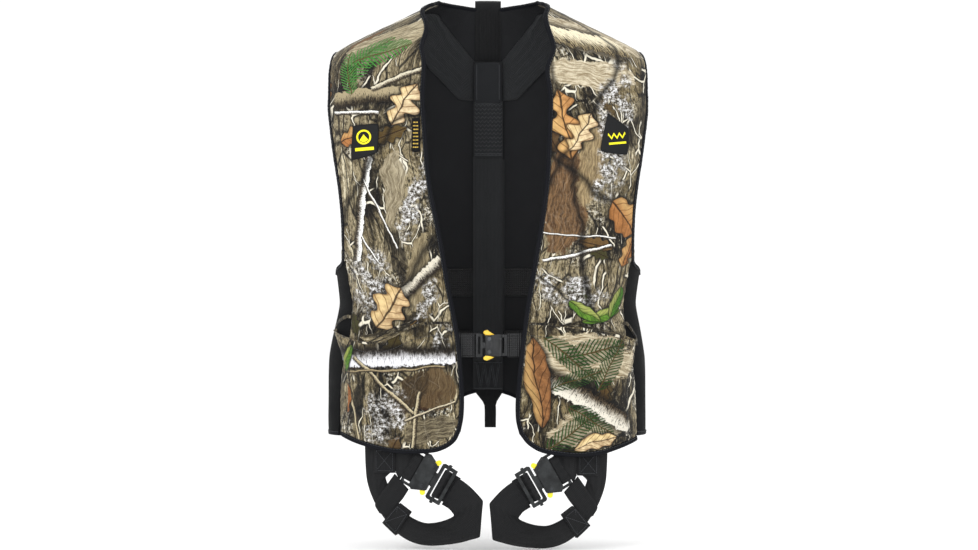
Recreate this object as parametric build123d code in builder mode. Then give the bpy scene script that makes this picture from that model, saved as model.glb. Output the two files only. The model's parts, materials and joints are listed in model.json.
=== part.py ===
from build123d import *
import math
import os

# Safety harness vest: a fabric vest with a full-body harness sewn inside it.
# +Z is up, the front faces -Y and +X is to a viewer's right.
# The origin is at the neck corners, midway between them, where a hanger or a neck carries it.

# ---------------------------------------------------------------- driving dimensions
PANEL = 3.0            # quilted panel thickness
BACK_SKIN = 1.8        # outer layer of the back; its lining makes up the rest
TAPE_OUT = 1.5         # binding tape stands this proud of a panel, outside
TAPE_IN = 4.5          # and reaches this far in from the outer face
TAPE = 7.0             # width of the binding along front edge and hem
ARM_TAPE = 6.0         # width of the binding round the armholes and neck
STRAP = 1.8            # webbing thickness
BELT_WEB = 35.0        # waist belt webbing width
TETHER_WEB = 39.0      # tether webbing width
BACK_WEB = 46.0        # centre back strap width
SEAM_Y = 20.0          # the shoulder seams lie this far behind the origin

# Outer surface of the vest on its wearer, given by its three outlines
FRONT_VIEW = [(72, 0), (226, -76), (240, -110), (245, -165), (243, -240), (236, -330),
              (220, -450), (229, -530), (230, -700)]          # half width, height
FRONT_PROFILE = [(-14, 0), (-52, -40), (-76, -76), (-92, -110), (-107, -165), (-118, -240),
                 (-122, -330), (-119, -450), (-124, -640), (-124, -700)]   # depth, height
BACK_PROFILE = [(66, 0), (76, -20), (97, -76), (104, -110), (110, -165), (113, -240),
                (112, -330), (105, -450), (105, -530), (108, -640), (108, -700)]
GIRTH_HALF_WIDTH = 245
GIRTH_FRONT = 124
GIRTH_BACK = 113
SQUARENESS = 3.0       # exponent of the superellipse seen from above
QUARTER_STEPS = 5

# Front edge and hem of each front panel, from the neck corner down and out (x, z)
LEFT_EDGE = [(-74, 14), (-91, -31), (-94, -80), (-93, -154), (-84, -270), (-70, -343),
             (-55, -430), (-42, -500), (-36, -586), (-40, -632), (-57, -655), (-85, -666),
             (-136, -666), (-180, -657), (-212, -642)]
RIGHT_EDGE = [(74, 14), (83, -25), (90, -90), (89, -154), (84, -270), (74, -345),
              (60, -430), (49, -505), (42, -586), (43, -622), (57, -646), (80, -661),
              (122, -672), (165, -668), (212, -650)]
OUTSIDE = 275          # beyond the vest's half width
BELOW = -720           # beyond its foot
ABOVE = 60             # and its neck
SIDE_SEAM = [(-209, -380), (-199, -460), (-206, -505), (-218, -565), (-219, -690)]
SIDE_HEM_Z = -643      # hem of the stretch panels under the arms
BACK_HEM = [(-219, -643), (-120, -628), (-55, -600), (0, -584), (55, -600), (120, -628),
            (219, -643)]

# Armhole seen from the side (y, z)
ARMHOLE = [(5, -80), (-34, -100), (-54, -180), (-71, -260), (-76, -320), (-62, -378),
           (0, -403), (60, -378), (72, -320), (66, -250), (56, -170), (42, -100)]
NECK_RX = 74           # neck opening seen from above
NECK_RY = 50

# Pocket mouths (x, z), from the outer seam to the front edge
LEFT_MOUTH = [(-222, -488), (-171, -506), (-132, -494), (-99, -478), (-30, -477)]
RIGHT_MOUTH = [(218, -508), (189, -498), (146, -488), (98, -480), (30, -477)]
POCKET_SIDE = [(-222, -488), (-204, -565), (-206, -690)]
POCKET_GAPE = 10.0     # how far the pocket cloth stands off the panel
POCKET_SKIN = 1.8
POCKET_WALL = 4.0      # seam along the pocket's sides and foot
POCKET_GAP = 0.3       # clearance between pocket and binding
MOUTH_RISE = 40        # the hollow runs out this far above the mouth


# ---------------------------------------------------------------- helpers
def arc_chain(points):
    """A run of arcs, each through three points in turn, for an open BuildLine."""
    for start, middle, end in zip(points[::2], points[1::2], points[2::2]):
        ThreePointArc(start, middle, end)


def girth_half(depth):
    """Points along the front or back half of the plan view, from one side to the other."""
    points = []
    for step in range(2 * QUARTER_STEPS + 1):
        turn = math.pi / 2 * step / QUARTER_STEPS
        c = math.cos(turn)
        x = GIRTH_HALF_WIDTH * math.copysign(abs(c) ** (2 / SQUARENESS), c)
        points.append((x, depth * math.sin(turn) ** (2 / SQUARENESS)))
    return points


def body_form(inset):
    """The solid inside the vest, inset from its outer face: three crossed prisms."""
    with BuildPart() as form:
        with BuildSketch(Plane.XY.offset(-760)) as plan:
            with BuildLine():
                arc_chain(girth_half(GIRTH_BACK))
                arc_chain(girth_half(-GIRTH_FRONT))
            make_face()
            if inset:
                offset(amount=-inset, kind=Kind.ARC)
        extrude(amount=800)
        with BuildSketch(Plane.XZ.offset(-200)) as front_view:
            with BuildLine():
                right = FRONT_VIEW
                Polyline(*right, *[(-x, z) for x, z in reversed(right)], close=True)
            make_face()
            if inset:
                offset(amount=-inset, kind=Kind.INTERSECTION)
        extrude(amount=400, mode=Mode.INTERSECT)
        with BuildSketch(Plane.YZ.offset(-300)) as side_view:
            with BuildLine():
                Polyline(*BACK_PROFILE, *reversed(FRONT_PROFILE), close=True)
            make_face()
            if inset:
                offset(amount=-inset, kind=Kind.INTERSECTION)
        extrude(amount=600, mode=Mode.INTERSECT)
    return form.part


def back_depth(z, inset):
    """Depth of the back's outer face at a height, on the centre line, less an inset."""
    for (upper_y, upper_z), (lower_y, lower_z) in zip(BACK_PROFILE, BACK_PROFILE[1:]):
        if upper_z >= z >= lower_z:
            share = (upper_z - z) / (upper_z - lower_z)
            return upper_y + share * (lower_y - upper_y) - inset
    return BACK_PROFILE[-1][0] - inset


def save(part, name):
    part.label = name
    export_step(part, f"parts/{name}.step")


def front_region(edge, margin):
    """Front view of one front panel: front edge and hem, set in by the margin."""
    side = math.copysign(1, edge[0][0])
    with BuildSketch(Plane.XZ) as region:
        with BuildLine():
            arc_chain(edge)
            Polyline(edge[-1], (side * OUTSIDE, edge[-1][1] + 20), (side * OUTSIDE, 40),
                     (edge[0][0], 40), edge[0])
        make_face()
        if margin:
            offset(amount=-margin, kind=Kind.ARC)
    return region.sketch


def side_region(side):
    """Front view of the stretch panel under one arm."""
    seam = [(side * -x, z) for x, z in SIDE_SEAM]
    with BuildSketch(Plane.XZ) as region:
        with BuildLine():
            Polyline(*seam, (side * OUTSIDE, seam[-1][1]), (side * OUTSIDE, seam[0][1]), seam[0])
        make_face()
    return region.sketch


def back_region(margin):
    """Back panel seen from the front: everything above its arched hem."""
    with BuildSketch(Plane.XZ) as region:
        with BuildLine():
            arc_chain(BACK_HEM)
            Polyline(BACK_HEM[-1], (OUTSIDE, SIDE_HEM_Z), (OUTSIDE, 40), (-OUTSIDE, 40),
                     (-OUTSIDE, SIDE_HEM_Z), BACK_HEM[0])
        make_face()
        if margin:
            offset(amount=-margin, kind=Kind.ARC)
    return region.sketch


def armhole_region(margin):
    """Side view of the armhole, grown by the margin."""
    with BuildSketch(Plane.YZ) as region:
        with BuildLine():
            arc_chain(ARMHOLE + ARMHOLE[:1])
        make_face()
        if margin:
            offset(amount=margin, kind=Kind.ARC)
    return region.sketch


def block(x0, x1, y0, y1, z0, z1):
    with BuildPart() as piece:
        with Locations(((x0 + x1) / 2, (y0 + y1) / 2, (z0 + z1) / 2)):
            Box(x1 - x0, y1 - y0, z1 - z0)
    return piece.part


def prism_y(sketch, y0, y1):
    """A front-view region carried from depth y0 back to y1."""
    with BuildPart() as piece:
        add(extrude(sketch.moved(Location((0, y1, 0))), amount=y1 - y0, dir=(0, -1, 0)))
    return piece.part


def prism_x(sketch, x0, x1):
    """A side-view region carried from x0 to x1."""
    with BuildPart() as piece:
        add(extrude(sketch.moved(Location((x0, 0, 0))), amount=x1 - x0, dir=(1, 0, 0)))
    return piece.part


def neck_column(margin):
    """The neck opening, carried down through the back neckline only."""
    with BuildPart() as piece:
        with BuildSketch(Plane.XY.offset(-70)):
            with Locations((0, SEAM_Y)):
                Ellipse(NECK_RX + margin, NECK_RY + margin)
        extrude(amount=110)
    return piece.part


# ---------------------------------------------------------------- vest cloth
outer = body_form(0)
inner = body_form(PANEL)
skin_inner = body_form(BACK_SKIN)
tape_outer = body_form(-TAPE_OUT)
tape_inner = body_form(TAPE_IN)

reach = 300
back_half = block(-reach, reach, SEAM_Y, reach, BELOW, ABOVE)
arm_gap = armhole_region(0)
arm_tape_gap = armhole_region(ARM_TAPE)
neck_gap = neck_column(0)
neck_tape_gap = neck_column(ARM_TAPE)


def arm_cut(region, side):
    x0, x1 = sorted((side * 125, side * OUTSIDE))
    return prism_x(region, x0, x1)


for side, name, edge in ((-1, "left", LEFT_EDGE), (1, "right", RIGHT_EDGE)):
    with BuildPart() as panel:
        add(prism_y(front_region(edge, TAPE), -reach, SEAM_Y))
        add(outer, mode=Mode.INTERSECT)
        add(inner, mode=Mode.SUBTRACT)
        add(arm_cut(arm_tape_gap, side), mode=Mode.SUBTRACT)
        add(prism_y(side_region(side), -reach, SEAM_Y), mode=Mode.SUBTRACT)
    save(panel.part, f"front_panel_{name}")

    with BuildPart() as tape:
        add(prism_y(front_region(edge, 0), -reach, SEAM_Y))
        add(prism_y(front_region(edge, TAPE), -reach, SEAM_Y), mode=Mode.SUBTRACT)
        add(tape_outer, mode=Mode.INTERSECT)
        add(tape_inner, mode=Mode.SUBTRACT)
        add(prism_y(side_region(side), -reach, SEAM_Y), mode=Mode.SUBTRACT)
    save(tape.part, f"front_binding_{name}")

    with BuildPart() as stretch:
        add(prism_y(side_region(side), -reach, reach))
        add(outer, mode=Mode.INTERSECT)
        add(inner, mode=Mode.SUBTRACT)
        add(arm_cut(arm_tape_gap, side), mode=Mode.SUBTRACT)
        add(block(-reach, reach, -reach, reach, BELOW, SIDE_HEM_Z + TAPE), mode=Mode.SUBTRACT)
    save(stretch.part, f"side_panel_{name}")

    with BuildPart() as ring:
        add(arm_cut(arm_tape_gap, side))
        add(arm_cut(arm_gap, side), mode=Mode.SUBTRACT)
        add(tape_outer, mode=Mode.INTERSECT)
        add(tape_inner, mode=Mode.SUBTRACT)
    save(ring.part, f"armhole_binding_{name}")

for name, face_outer, face_inner in (("back_panel", outer, skin_inner),
                                     ("back_lining", skin_inner, inner)):
    with BuildPart() as back:
        add(prism_y(back_region(TAPE), SEAM_Y, reach))
        add(face_outer, mode=Mode.INTERSECT)
        add(face_inner, mode=Mode.SUBTRACT)
        add(neck_tape_gap, mode=Mode.SUBTRACT)
        for side in (-1, 1):
            add(arm_cut(arm_tape_gap, side), mode=Mode.SUBTRACT)
            add(prism_y(side_region(side), SEAM_Y, reach), mode=Mode.SUBTRACT)
    save(back.part, name)

with BuildPart() as neck_tape:
    add(neck_tape_gap)
    add(neck_gap, mode=Mode.SUBTRACT)
    add(back_half, mode=Mode.INTERSECT)
    add(tape_outer, mode=Mode.INTERSECT)
    add(tape_inner, mode=Mode.SUBTRACT)
save(neck_tape.part, "neck_binding")

with BuildPart() as hem_tape:
    add(prism_y(back_region(0), -reach, reach))
    add(prism_y(back_region(TAPE), -reach, reach), mode=Mode.SUBTRACT)
    add(tape_outer, mode=Mode.INTERSECT)
    add(tape_inner, mode=Mode.SUBTRACT)
    add(block(BACK_HEM[0][0], BACK_HEM[-1][0], -reach, SEAM_Y, BELOW, ABOVE), mode=Mode.SUBTRACT)
save(hem_tape.part, "back_hem_binding")

# Pockets: a second skin that stands off the panel, open along its mouth
pouch_outer = body_form(-POCKET_GAPE)
pouch_inner = body_form(-POCKET_GAPE + POCKET_SKIN)


def pocket_region(side, mouth, edge, margin):
    """Front view of a pocket: under its mouth, inside the front edge and its outer seam."""
    seam = [(side * -x, z) for x, z in POCKET_SIDE]
    seam[0] = mouth[0]
    with BuildSketch(Plane.XZ) as region:
        with BuildLine():
            arc_chain(mouth)
            Polyline(mouth[-1], (mouth[-1][0], BELOW), (seam[-1][0], BELOW), seam[-1])
            arc_chain(seam[::-1])
        make_face()
        add(front_region(edge, TAPE + margin), mode=Mode.INTERSECT)
    return region.sketch


for side, name, edge, mouth in ((-1, "left", LEFT_EDGE, LEFT_MOUTH),
                                (1, "right", RIGHT_EDGE, RIGHT_MOUTH)):
    above_mouth = [(x, z + MOUTH_RISE) for x, z in mouth]
    with BuildPart() as hollow:
        add(prism_y(pocket_region(side, above_mouth, edge, POCKET_WALL), -reach, 0))
        add(pouch_inner, mode=Mode.INTERSECT)
    with BuildPart() as pocket:
        add(prism_y(pocket_region(side, mouth, edge, POCKET_GAP), -reach, 0))
        add(pouch_outer, mode=Mode.INTERSECT)
        add(outer, mode=Mode.SUBTRACT)
        add(hollow.part, mode=Mode.SUBTRACT)
    save(pocket.part, f"pocket_{name}")

# ---------------------------------------------------------------- patches
PATCH = 1.2            # patch thickness on top of the panel
LEFT_PATCH = [(-202, -186), (-166, -193), (-159, -229), (-196, -238)]
RIGHT_PATCH = [(174, -172), (204, -194), (202, -232), (163, -227)]
LABEL = [(-111, -180), (-99, -180), (-99, -228), (-111, -228)]

patch_outer = body_form(-PATCH)
for name, corners in (("chest_patch_left", LEFT_PATCH), ("chest_patch_right", RIGHT_PATCH),
                      ("woven_label", LABEL)):
    with BuildSketch(Plane.XZ) as patch_shape:
        with BuildLine():
            Polyline(*corners, close=True)
        make_face()
        fillet(patch_shape.vertices(), 3)
    with BuildPart() as patch:
        add(prism_y(patch_shape.sketch, -reach, 0))
        add(patch_outer, mode=Mode.INTERSECT)
        add(outer, mode=Mode.SUBTRACT)
    save(patch.part, name)

# ---------------------------------------------------------------- straps inside the vest
WEB_GAP = 0.3          # clearance between stacked layers
SHOULDER_FRONT = [(-160, 10), (-104, 10), (-106, -160), (-88, -400), (-84, -648),
                  (-131, -648), (-136, -400), (-160, -160)]
SHOULDER_BACK = [(-160, 10), (-104, 10), (-84, -14), (-22, -84), (-22, -142), (-46, -142),
                 (-90, -97), (-160, -40)]
WAIST_BAND_Z = (-441, -398)
BELT_FOOT = -527
BELT_Z = (BELT_FOOT, BELT_FOOT + BELT_WEB)
BELT_END_LEFT = -19    # where the belt meets its buckle on each side of the centre
BELT_END_RIGHT = 28.6

web_outer = body_form(PANEL + WEB_GAP)
web_inner = body_form(PANEL + WEB_GAP + STRAP)
belt_outer = body_form(PANEL + 2 * WEB_GAP + STRAP)
belt_inner = body_form(PANEL + 2 * WEB_GAP + 2 * STRAP)


def strip(corners, y0, y1):
    with BuildSketch(Plane.XZ) as shape:
        with BuildLine():
            Polyline(*corners, close=True)
        make_face()
    return prism_y(shape.sketch, y0, y1)


for side, name in ((-1, "left"), (1, "right")):
    front_run = [(-side * x, z) for x, z in SHOULDER_FRONT]
    back_run = [(-side * x, z) for x, z in SHOULDER_BACK]
    with BuildPart() as shoulder:
        add(strip(front_run, -reach, SEAM_Y))
        add(strip(back_run, SEAM_Y, reach))
        add(web_outer, mode=Mode.INTERSECT)
        add(web_inner, mode=Mode.SUBTRACT)
        add(neck_column(ARM_TAPE + 1), mode=Mode.SUBTRACT)
    save(shoulder.part, f"shoulder_strap_{name}")

with BuildPart() as band:
    add(block(-200, 200, SEAM_Y, reach, *WAIST_BAND_Z))
    add(web_outer, mode=Mode.INTERSECT)
    add(web_inner, mode=Mode.SUBTRACT)
save(band.part, "waist_band_back")

for name, x0, x1 in (("belt_strap_left", -reach, BELT_END_LEFT),
                     ("belt_strap_right", BELT_END_RIGHT, reach)):
    with BuildPart() as belt:
        add(block(x0, x1, -reach, reach, *BELT_Z))
        add(block(-0.5, 40, 0, reach, *BELT_Z), mode=Mode.SUBTRACT)
        add(belt_outer, mode=Mode.INTERSECT)
        add(belt_inner, mode=Mode.SUBTRACT)
    save(belt.part, name)


# Straps down the middle of the back follow its profile and are flat across
def back_strip(name, points, half_width, thickness):
    """A flat strap across the centre line, along points of (y, z) on its middle face."""
    with BuildPart() as strap:
        with BuildSketch(Plane.YZ) as side_view:
            with BuildLine() as middle:
                Spline(*points)
            trace(line_width=thickness)
        extrude(amount=half_width, both=True)
    save(strap.part, name)


def lining_points(levels, inset):
    return [(back_depth(z, inset), z) for z in levels]


STRAP_INSET = 7.3      # the back straps lie this far inside the vest's outer face
TEAR_WEB = 44.0
TEAR_THICK = 4.0       # folded webbing
SLEEVE_WEB = 42.0
SLEEVE_THICK = 5.0
LAYER_INSET = 1.6      # thick layers lie this much deeper
back_strip("centre_back_strap", lining_points((-228, -300, -380, -460, -540, -580), STRAP_INSET + 1),
           BACK_WEB / 2, STRAP)
back_strip("tear_webbing", lining_points((-146, -180, -226), STRAP_INSET + LAYER_INSET),
           TEAR_WEB / 2, TEAR_THICK)
back_strip("dorsal_sleeve", lining_points((-86, -110, -144), STRAP_INSET + LAYER_INSET),
           SLEEVE_WEB / 2, SLEEVE_THICK)
RISER = [(back_depth(-84, 9), -84), (76, -52), (66, -22), (61, -4), (63.5, 3), (68.2, 4.6)]
RISER_THICK = 2.0
back_strip("tether_riser", RISER, TETHER_WEB / 2, RISER_THICK)

with BuildPart() as tail:
    with BuildSketch(Plane.XZ.offset(-101)) as tail_front:
        with BuildLine():
            Polyline((-15, -582), (18, -582), (15, -596), (12, -604), (12, -638), (-5, -638),
                     (-4, -604), (-10, -594), close=True)
        make_face()
    extrude(amount=3.5)
    with BuildSketch(Plane.YZ.offset(-12)) as tail_hollow:
        with Locations((99.2, -628)):
            SlotOverall(14, 1.0, rotation=90)
    extrude(amount=40, mode=Mode.SUBTRACT)
save(tail.part, "tail_loop")

# ---------------------------------------------------------------- buckles
# Each quick-connector lies in its own plane: x runs from the housing to the adjuster,
# y across the webbing and z out of the vest.
PLATE = 1.8            # thickness of the housing's two plates
CAVITY = 3.4           # gap between them, for the levers and the tongue
LEVER = 2.8            # lever and tongue thickness
RIVET_R = 1.9
LEG_BUCKLE = dict(rear=-36, shoulder=-15, nose=5, tail=-21, half_tail=24.5, half_wide=29.5,
                  half_nose=20, rivet=(-3, 17), ear=(2.2, 25), ear_r=3.8, tongue=11,
                  frame=(8.5, 33), half_frame=29, window=(13.5, 28), half_window=23.5)
WAIST_BUCKLE = dict(rear=-27, shoulder=-15, nose=5, tail=-19, half_tail=16, half_wide=16.5,
                    half_nose=15, rivet=(-1, 9.6), ear=(2.5, 18.5), ear_r=3.6, tongue=4.6,
                    frame=(9, 18.5), half_frame=17.5, window=(12, 15.5), half_window=13)
SLIDE_AT = 20.0        # rest place of the sliding bar along the leg adjuster


def slab(plane, low, thick, corners, rounding):
    """A plate in a buckle's plane, from its corners, with rounded corners and soft rims."""
    with BuildPart() as plate:
        with BuildSketch(plane.offset(low)) as shape:
            with BuildLine():
                Polyline(*corners, close=True)
            make_face()
            fillet(shape.vertices(), rounding)
        extrude(amount=thick)
    return plate.part


def both_sides(half_outline):
    """Corners of a plate that is the same on both sides of its long axis."""
    return half_outline + [(x, -y) for x, y in reversed(half_outline)]


def disc(plane, centre, radius, low, thick):
    with BuildPart() as piece:
        with BuildSketch(plane.offset(low)):
            with Locations(centre):
                Circle(radius)
        extrude(amount=thick)
    return piece.part


def soften(part, plane, size):
    """Chamfer the rim of a plate's outer face."""
    with BuildPart() as piece:
        add(part)
        rim = piece.edges().group_by(Axis(plane.origin, plane.z_dir))[-1]
        chamfer(rim, size)
    return piece.part


def make_buckle(name, plane, size, sliding):
    """Every piece of one quick-connector, as a dictionary of name to part."""
    pieces = {}
    rivets = [size["rivet"], (size["rivet"][0], -size["rivet"][1])]
    face = both_sides([(size["tail"], size["half_tail"]), (size["shoulder"], size["half_wide"]),
                       (size["nose"], size["half_nose"])])
    half = CAVITY / 2

    with BuildPart() as front:
        add(soften(slab(plane, half, PLATE, face, 2), plane, 0.5))
        for centre in rivets:
            add(disc(plane, centre, RIVET_R, half - 1, PLATE + 2), mode=Mode.SUBTRACT)
    pieces[f"{name}_front_plate"] = front.part

    rear = size["rear"]
    wide = size["half_wide"]
    with BuildPart() as back:
        add(slab(plane, -half - PLATE, PLATE, face, 2))
        add(slab(plane, -half - PLATE, PLATE, both_sides(
            [(rear, wide - 1), (size["shoulder"], wide - 1)]), 1.5))
        add(slab(plane, -half - PLATE - 1, PLATE + 2, both_sides(
            [(rear + 4.5, wide - 5), (size["tail"] - 0.5, wide - 5)]), 1), mode=Mode.SUBTRACT)
        for centre in rivets:
            add(disc(plane, centre, RIVET_R, -half - PLATE - 1, PLATE + 2), mode=Mode.SUBTRACT)
    pieces[f"{name}_back_plate"] = back.part

    with BuildPart() as rivet_pair:
        for centre in rivets:
            add(disc(plane, centre, RIVET_R, -half - PLATE - 0.5, CAVITY + 2 * PLATE + 1))
            add(disc(plane, centre, RIVET_R + 1, half + PLATE, 0.7))
    pieces[f"{name}_rivets"] = rivet_pair.part

    upper = 1 if plane.y_dir.Z > 0 else -1
    for side, label in ((upper, "upper"), (-upper, "lower")):
        pivot = (size["rivet"][0], side * size["rivet"][1])
        ear = (size["ear"][0], side * size["ear"][1])
        with BuildPart() as lever:
            with BuildSketch(plane.offset(-LEVER / 2)):
                with Locations(pivot):
                    Circle(RIVET_R + 1.7)
                with Locations(ear):
                    Circle(size["ear_r"])
                make_hull()
                with Locations(pivot):
                    Circle(RIVET_R + 0.15, mode=Mode.SUBTRACT)
            extrude(amount=LEVER)
        pieces[f"{name}_lever_{label}"] = lever.part

    start, end = size["frame"]
    open_start, open_end = size["window"]
    rail = size["half_frame"]
    with BuildPart() as adjuster:
        add(slab(plane, -LEVER / 2, LEVER, both_sides(
            [(start, rail - 2), (start + 3, rail), (end, rail - 0.5)]), 1))
        add(slab(plane, -LEVER / 2, LEVER, both_sides(
            [(size["rivet"][0] - 9, size["tongue"] - 3), (start + 1, size["tongue"])]), 1))
        add(slab(plane, -LEVER, 2 * LEVER, both_sides(
            [(open_start, size["half_window"]), (open_end, size["half_window"])]), 1.5),
            mode=Mode.SUBTRACT)
    pieces[f"{name}_adjuster"] = adjuster.part

    if sliding:
        bar = LEVER / 2 + 0.25
        with BuildPart() as slide:
            add(slab(plane, bar, 2.2, both_sides(
                [(SLIDE_AT - 2.2, rail + 2.3), (SLIDE_AT + 2.2, rail + 2.3)]), 1))
            for side in (1, -1):
                lug = [(SLIDE_AT - 2.2, side * (rail + 0.4)), (SLIDE_AT - 2.2, side * (rail + 2.3)),
                       (SLIDE_AT + 2.2, side * (rail + 2.3)), (SLIDE_AT + 2.2, side * (rail + 0.4))]
                add(slab(plane, -LEVER / 2, LEVER + 1, lug, 0.4))
        pieces[f"{name}_slide_bar"] = slide.part
    return pieces


# ---------------------------------------------------------------- leg loops
# A leg loop hangs in a plane turned to follow the front panel. In it x runs towards the
# wearer's middle, y up and z out. Below LEG_BEND the loop curls back under the thigh.
LEG_TURN = 14.0
LEG_AT = (-136, -99.5, -656)
RIGHT_LEG_SHIFT = (-5, 0, -4)
LEG_BEND = -60.0
LEG_BEND_R = 180.0
LEG_WEB = 2.4          # the loop is double webbing
LOOP = [(-45, 0), (-43, -50), (-16, -109), (10, -137), (48, -147), (90, -143), (122, -132),
        (131, -104), (130, -80)]
LOOP_END = [(116, -64), (95, -50), (71, -86), (88, -102)]
LOOP_INNER = [(88, -102), (66, -110), (47, -113), (28, -107), (5, -86)]
LOOP_TOP = [(5, -86), (-11, -58), (-15, -40), (1, -34), (4, 0), (-45, 0)]
HIP = [(5.5, 0), (38, 0), (34.5, -3), (9.5, -48), (4, -40)]
CROSS = [(-1, -43), (8, -55), (20, -63), (4, -84), (-14, -107), (-30, -84), (-14, -60)]
KEEPER = [(7.5, -84), (24.5, -97), (-1.5, -132.5), (-20, -113.5)]
KEEPER_HOLLOW = [(3, -81), (25.5, -103), (3.5, -136), (-22, -109)]
BUCKLE_AT = (53.5, -45)
BUCKLE_TILT = -30.0
BUCKLE_RISE = 3.4      # the buckle's middle stands this far in front of the loop's

turn = math.radians(LEG_TURN)
leg_plane = Plane(origin=LEG_AT, x_dir=(math.cos(turn), -math.sin(turn), 0),
                  z_dir=(-math.sin(turn), -math.cos(turn), 0))
side_plane = Plane(origin=LEG_AT, x_dir=leg_plane.z_dir, z_dir=-leg_plane.x_dir)


def curled_sheet(low, high):
    """The layer between two offsets from the leg plane, flat above the bend, curled below it."""
    sweep_angle = 42
    with BuildPart() as sheet:
        with BuildSketch(side_plane.offset(-160)):
            with BuildLine():
                centre = (-LEG_BEND_R, LEG_BEND)
                Line((low, 20), (high, 20))
                Line((high, 20), (high, LEG_BEND))
                far = CenterArc(centre, LEG_BEND_R + high, 0, -sweep_angle)
                near = CenterArc(centre, LEG_BEND_R + low, 0, -sweep_angle)
                Line(far @ 1, near @ 1)
                Line((low, LEG_BEND), (low, 20))
            make_face()
        extrude(amount=320)
    return sheet.part


def leg_prism(region):
    with BuildPart() as piece:
        with BuildSketch(leg_plane.offset(-90)):
            add(region)
        extrude(amount=180)
    return piece.part


def leg_piece(region, low, high):
    with BuildPart() as piece:
        add(leg_prism(region))
        add(curled_sheet(low, high), mode=Mode.INTERSECT)
    return piece.part


def flat_region(corners):
    with BuildSketch() as region:
        with BuildLine():
            Polyline(*corners, close=True)
        make_face()
    return region.sketch


with BuildSketch() as loop_region:
    with BuildLine():
        arc_chain(LOOP)
        Polyline(LOOP[-1], *LOOP_END)
        arc_chain(LOOP_INNER)
        Polyline(*LOOP_TOP)
    make_face()

half_web = LEG_WEB / 2
keeper_hollow = leg_piece(flat_region(KEEPER_HOLLOW), -half_web - WEB_GAP, half_web + 2.6)
with BuildPart() as keeper:
    add(leg_piece(flat_region(KEEPER), -half_web - 1.6, half_web + 4.0))
    add(keeper_hollow, mode=Mode.SUBTRACT)

buckle_corner = leg_plane.from_local_coords((*BUCKLE_AT, BUCKLE_RISE))
tilt = math.radians(BUCKLE_TILT)
buckle_plane = Plane(origin=buckle_corner,
                     x_dir=leg_plane.x_dir * math.cos(tilt) + Vector(0, 0, math.sin(tilt)),
                     z_dir=leg_plane.z_dir)

leg_parts = {
    "loop_strap": leg_piece(loop_region.sketch, -half_web, half_web),
    "hip_strap": leg_piece(flat_region(HIP), half_web + WEB_GAP, half_web + 2.3),
    "cross_strap": leg_piece(flat_region(CROSS), half_web + WEB_GAP, half_web + 2.3),
    "keeper": keeper.part,
    **make_buckle("buckle", buckle_plane, LEG_BUCKLE, sliding=True)}

for piece_name, left_part in leg_parts.items():
    save(left_part, f"left_leg_{piece_name}")
    right_part = Pos(*RIGHT_LEG_SHIFT) * mirror(left_part, about=Plane.YZ)
    save(right_part, f"right_leg_{piece_name}")

# ---------------------------------------------------------------- waist buckle
WAIST_AT = (1, -116.5, -510)
waist_plane = Plane(origin=WAIST_AT, x_dir=(-1, 0, 0), z_dir=(0, -1, 0))
for piece_name, part in make_buckle("waist", waist_plane, WAIST_BUCKLE, sliding=False).items():
    save(part, piece_name)

# ---------------------------------------------------------------- tether and carabiner
# Seen from the side (y, z): over the back neckline and down the outside of the back
TETHER = [(70.8, 3.4), (82, -17), (97, -58), (108.5, -108), (115, -165), (118.5, -228),
          (119.5, -290), (120, -352)]
TETHER_THICK = 2.4
EYE = (120, -362)      # the eye at the tether's end, round the carabiner
EYE_HALF = 12
EYE_R = 8.2
ROD = 5.0              # carabiner rod radius
CLEAR = 0.6


def bent_route(points):
    """Straight runs joined by the largest tangent arcs that they allow, in a BuildLine."""
    corner_starts = []
    corner_ends = []
    for before, corner, after in zip(points, points[1:], points[2:]):
        p0, p1, p2 = Vector(*before), Vector(*corner), Vector(*after)
        into = (p1 - p0).normalized()
        out = (p2 - p1).normalized()
        reach_back = 0.45 * min((p1 - p0).length, (p2 - p1).length)
        corner_starts.append((p1 - into * reach_back, into))
        corner_ends.append(p1 + out * reach_back)
    place = Vector(*points[0])
    for (arc_start, heading), arc_end in zip(corner_starts, corner_ends):
        Line(place, arc_start)
        TangentArc(arc_start, arc_end, tangent=heading)
        place = arc_end
    Line(place, Vector(*points[-1]))


with BuildPart() as tether:
    with BuildSketch(Plane.YZ):
        with BuildLine():
            bent_route(TETHER)
        trace(line_width=TETHER_THICK)
    extrude(amount=TETHER_WEB / 2, both=True)
    with BuildSketch(Plane.YZ):
        with Locations(EYE):
            Circle(EYE_R)
        with Locations((EYE[0], EYE[1] + EYE_R + 1)):
            Rectangle(TETHER_THICK, 6)
    extrude(amount=EYE_HALF, both=True)
    with BuildSketch(Plane.YZ):
        with Locations(EYE):
            Circle(ROD + CLEAR)
    extrude(amount=EYE_HALF + 1, both=True, mode=Mode.SUBTRACT)
save(tether.part, "tether_strap")

CARABINER_W = 30       # half the distance between the rod's two sides
CARABINER_L = 104
CARABINER_BEND = 19
GATE_TOP = -30
GATE_FOOT = -82
carabiner_plane = Plane(origin=(0, *EYE), x_dir=(1, 0, 0), z_dir=(0, -1, 0))
with BuildPart() as carabiner:
    with BuildLine(carabiner_plane):
        FilletPolyline((-CARABINER_W, GATE_TOP + 3), (-CARABINER_W, 0), (CARABINER_W, 0),
                       (CARABINER_W, -CARABINER_L), (-CARABINER_W, -CARABINER_L),
                       (-CARABINER_W, GATE_FOOT - 2), radius=CARABINER_BEND)
    with BuildSketch(Plane(origin=carabiner_plane.from_local_coords((-CARABINER_W, GATE_TOP + 3, 0)),
                           z_dir=(0, 0, 1))):
        Circle(ROD)
    sweep()
    with Locations(carabiner_plane.from_local_coords((-CARABINER_W, GATE_FOOT, 0))):
        Sphere(ROD, mode=Mode.SUBTRACT)
save(carabiner.part, "carabiner_body")

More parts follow.
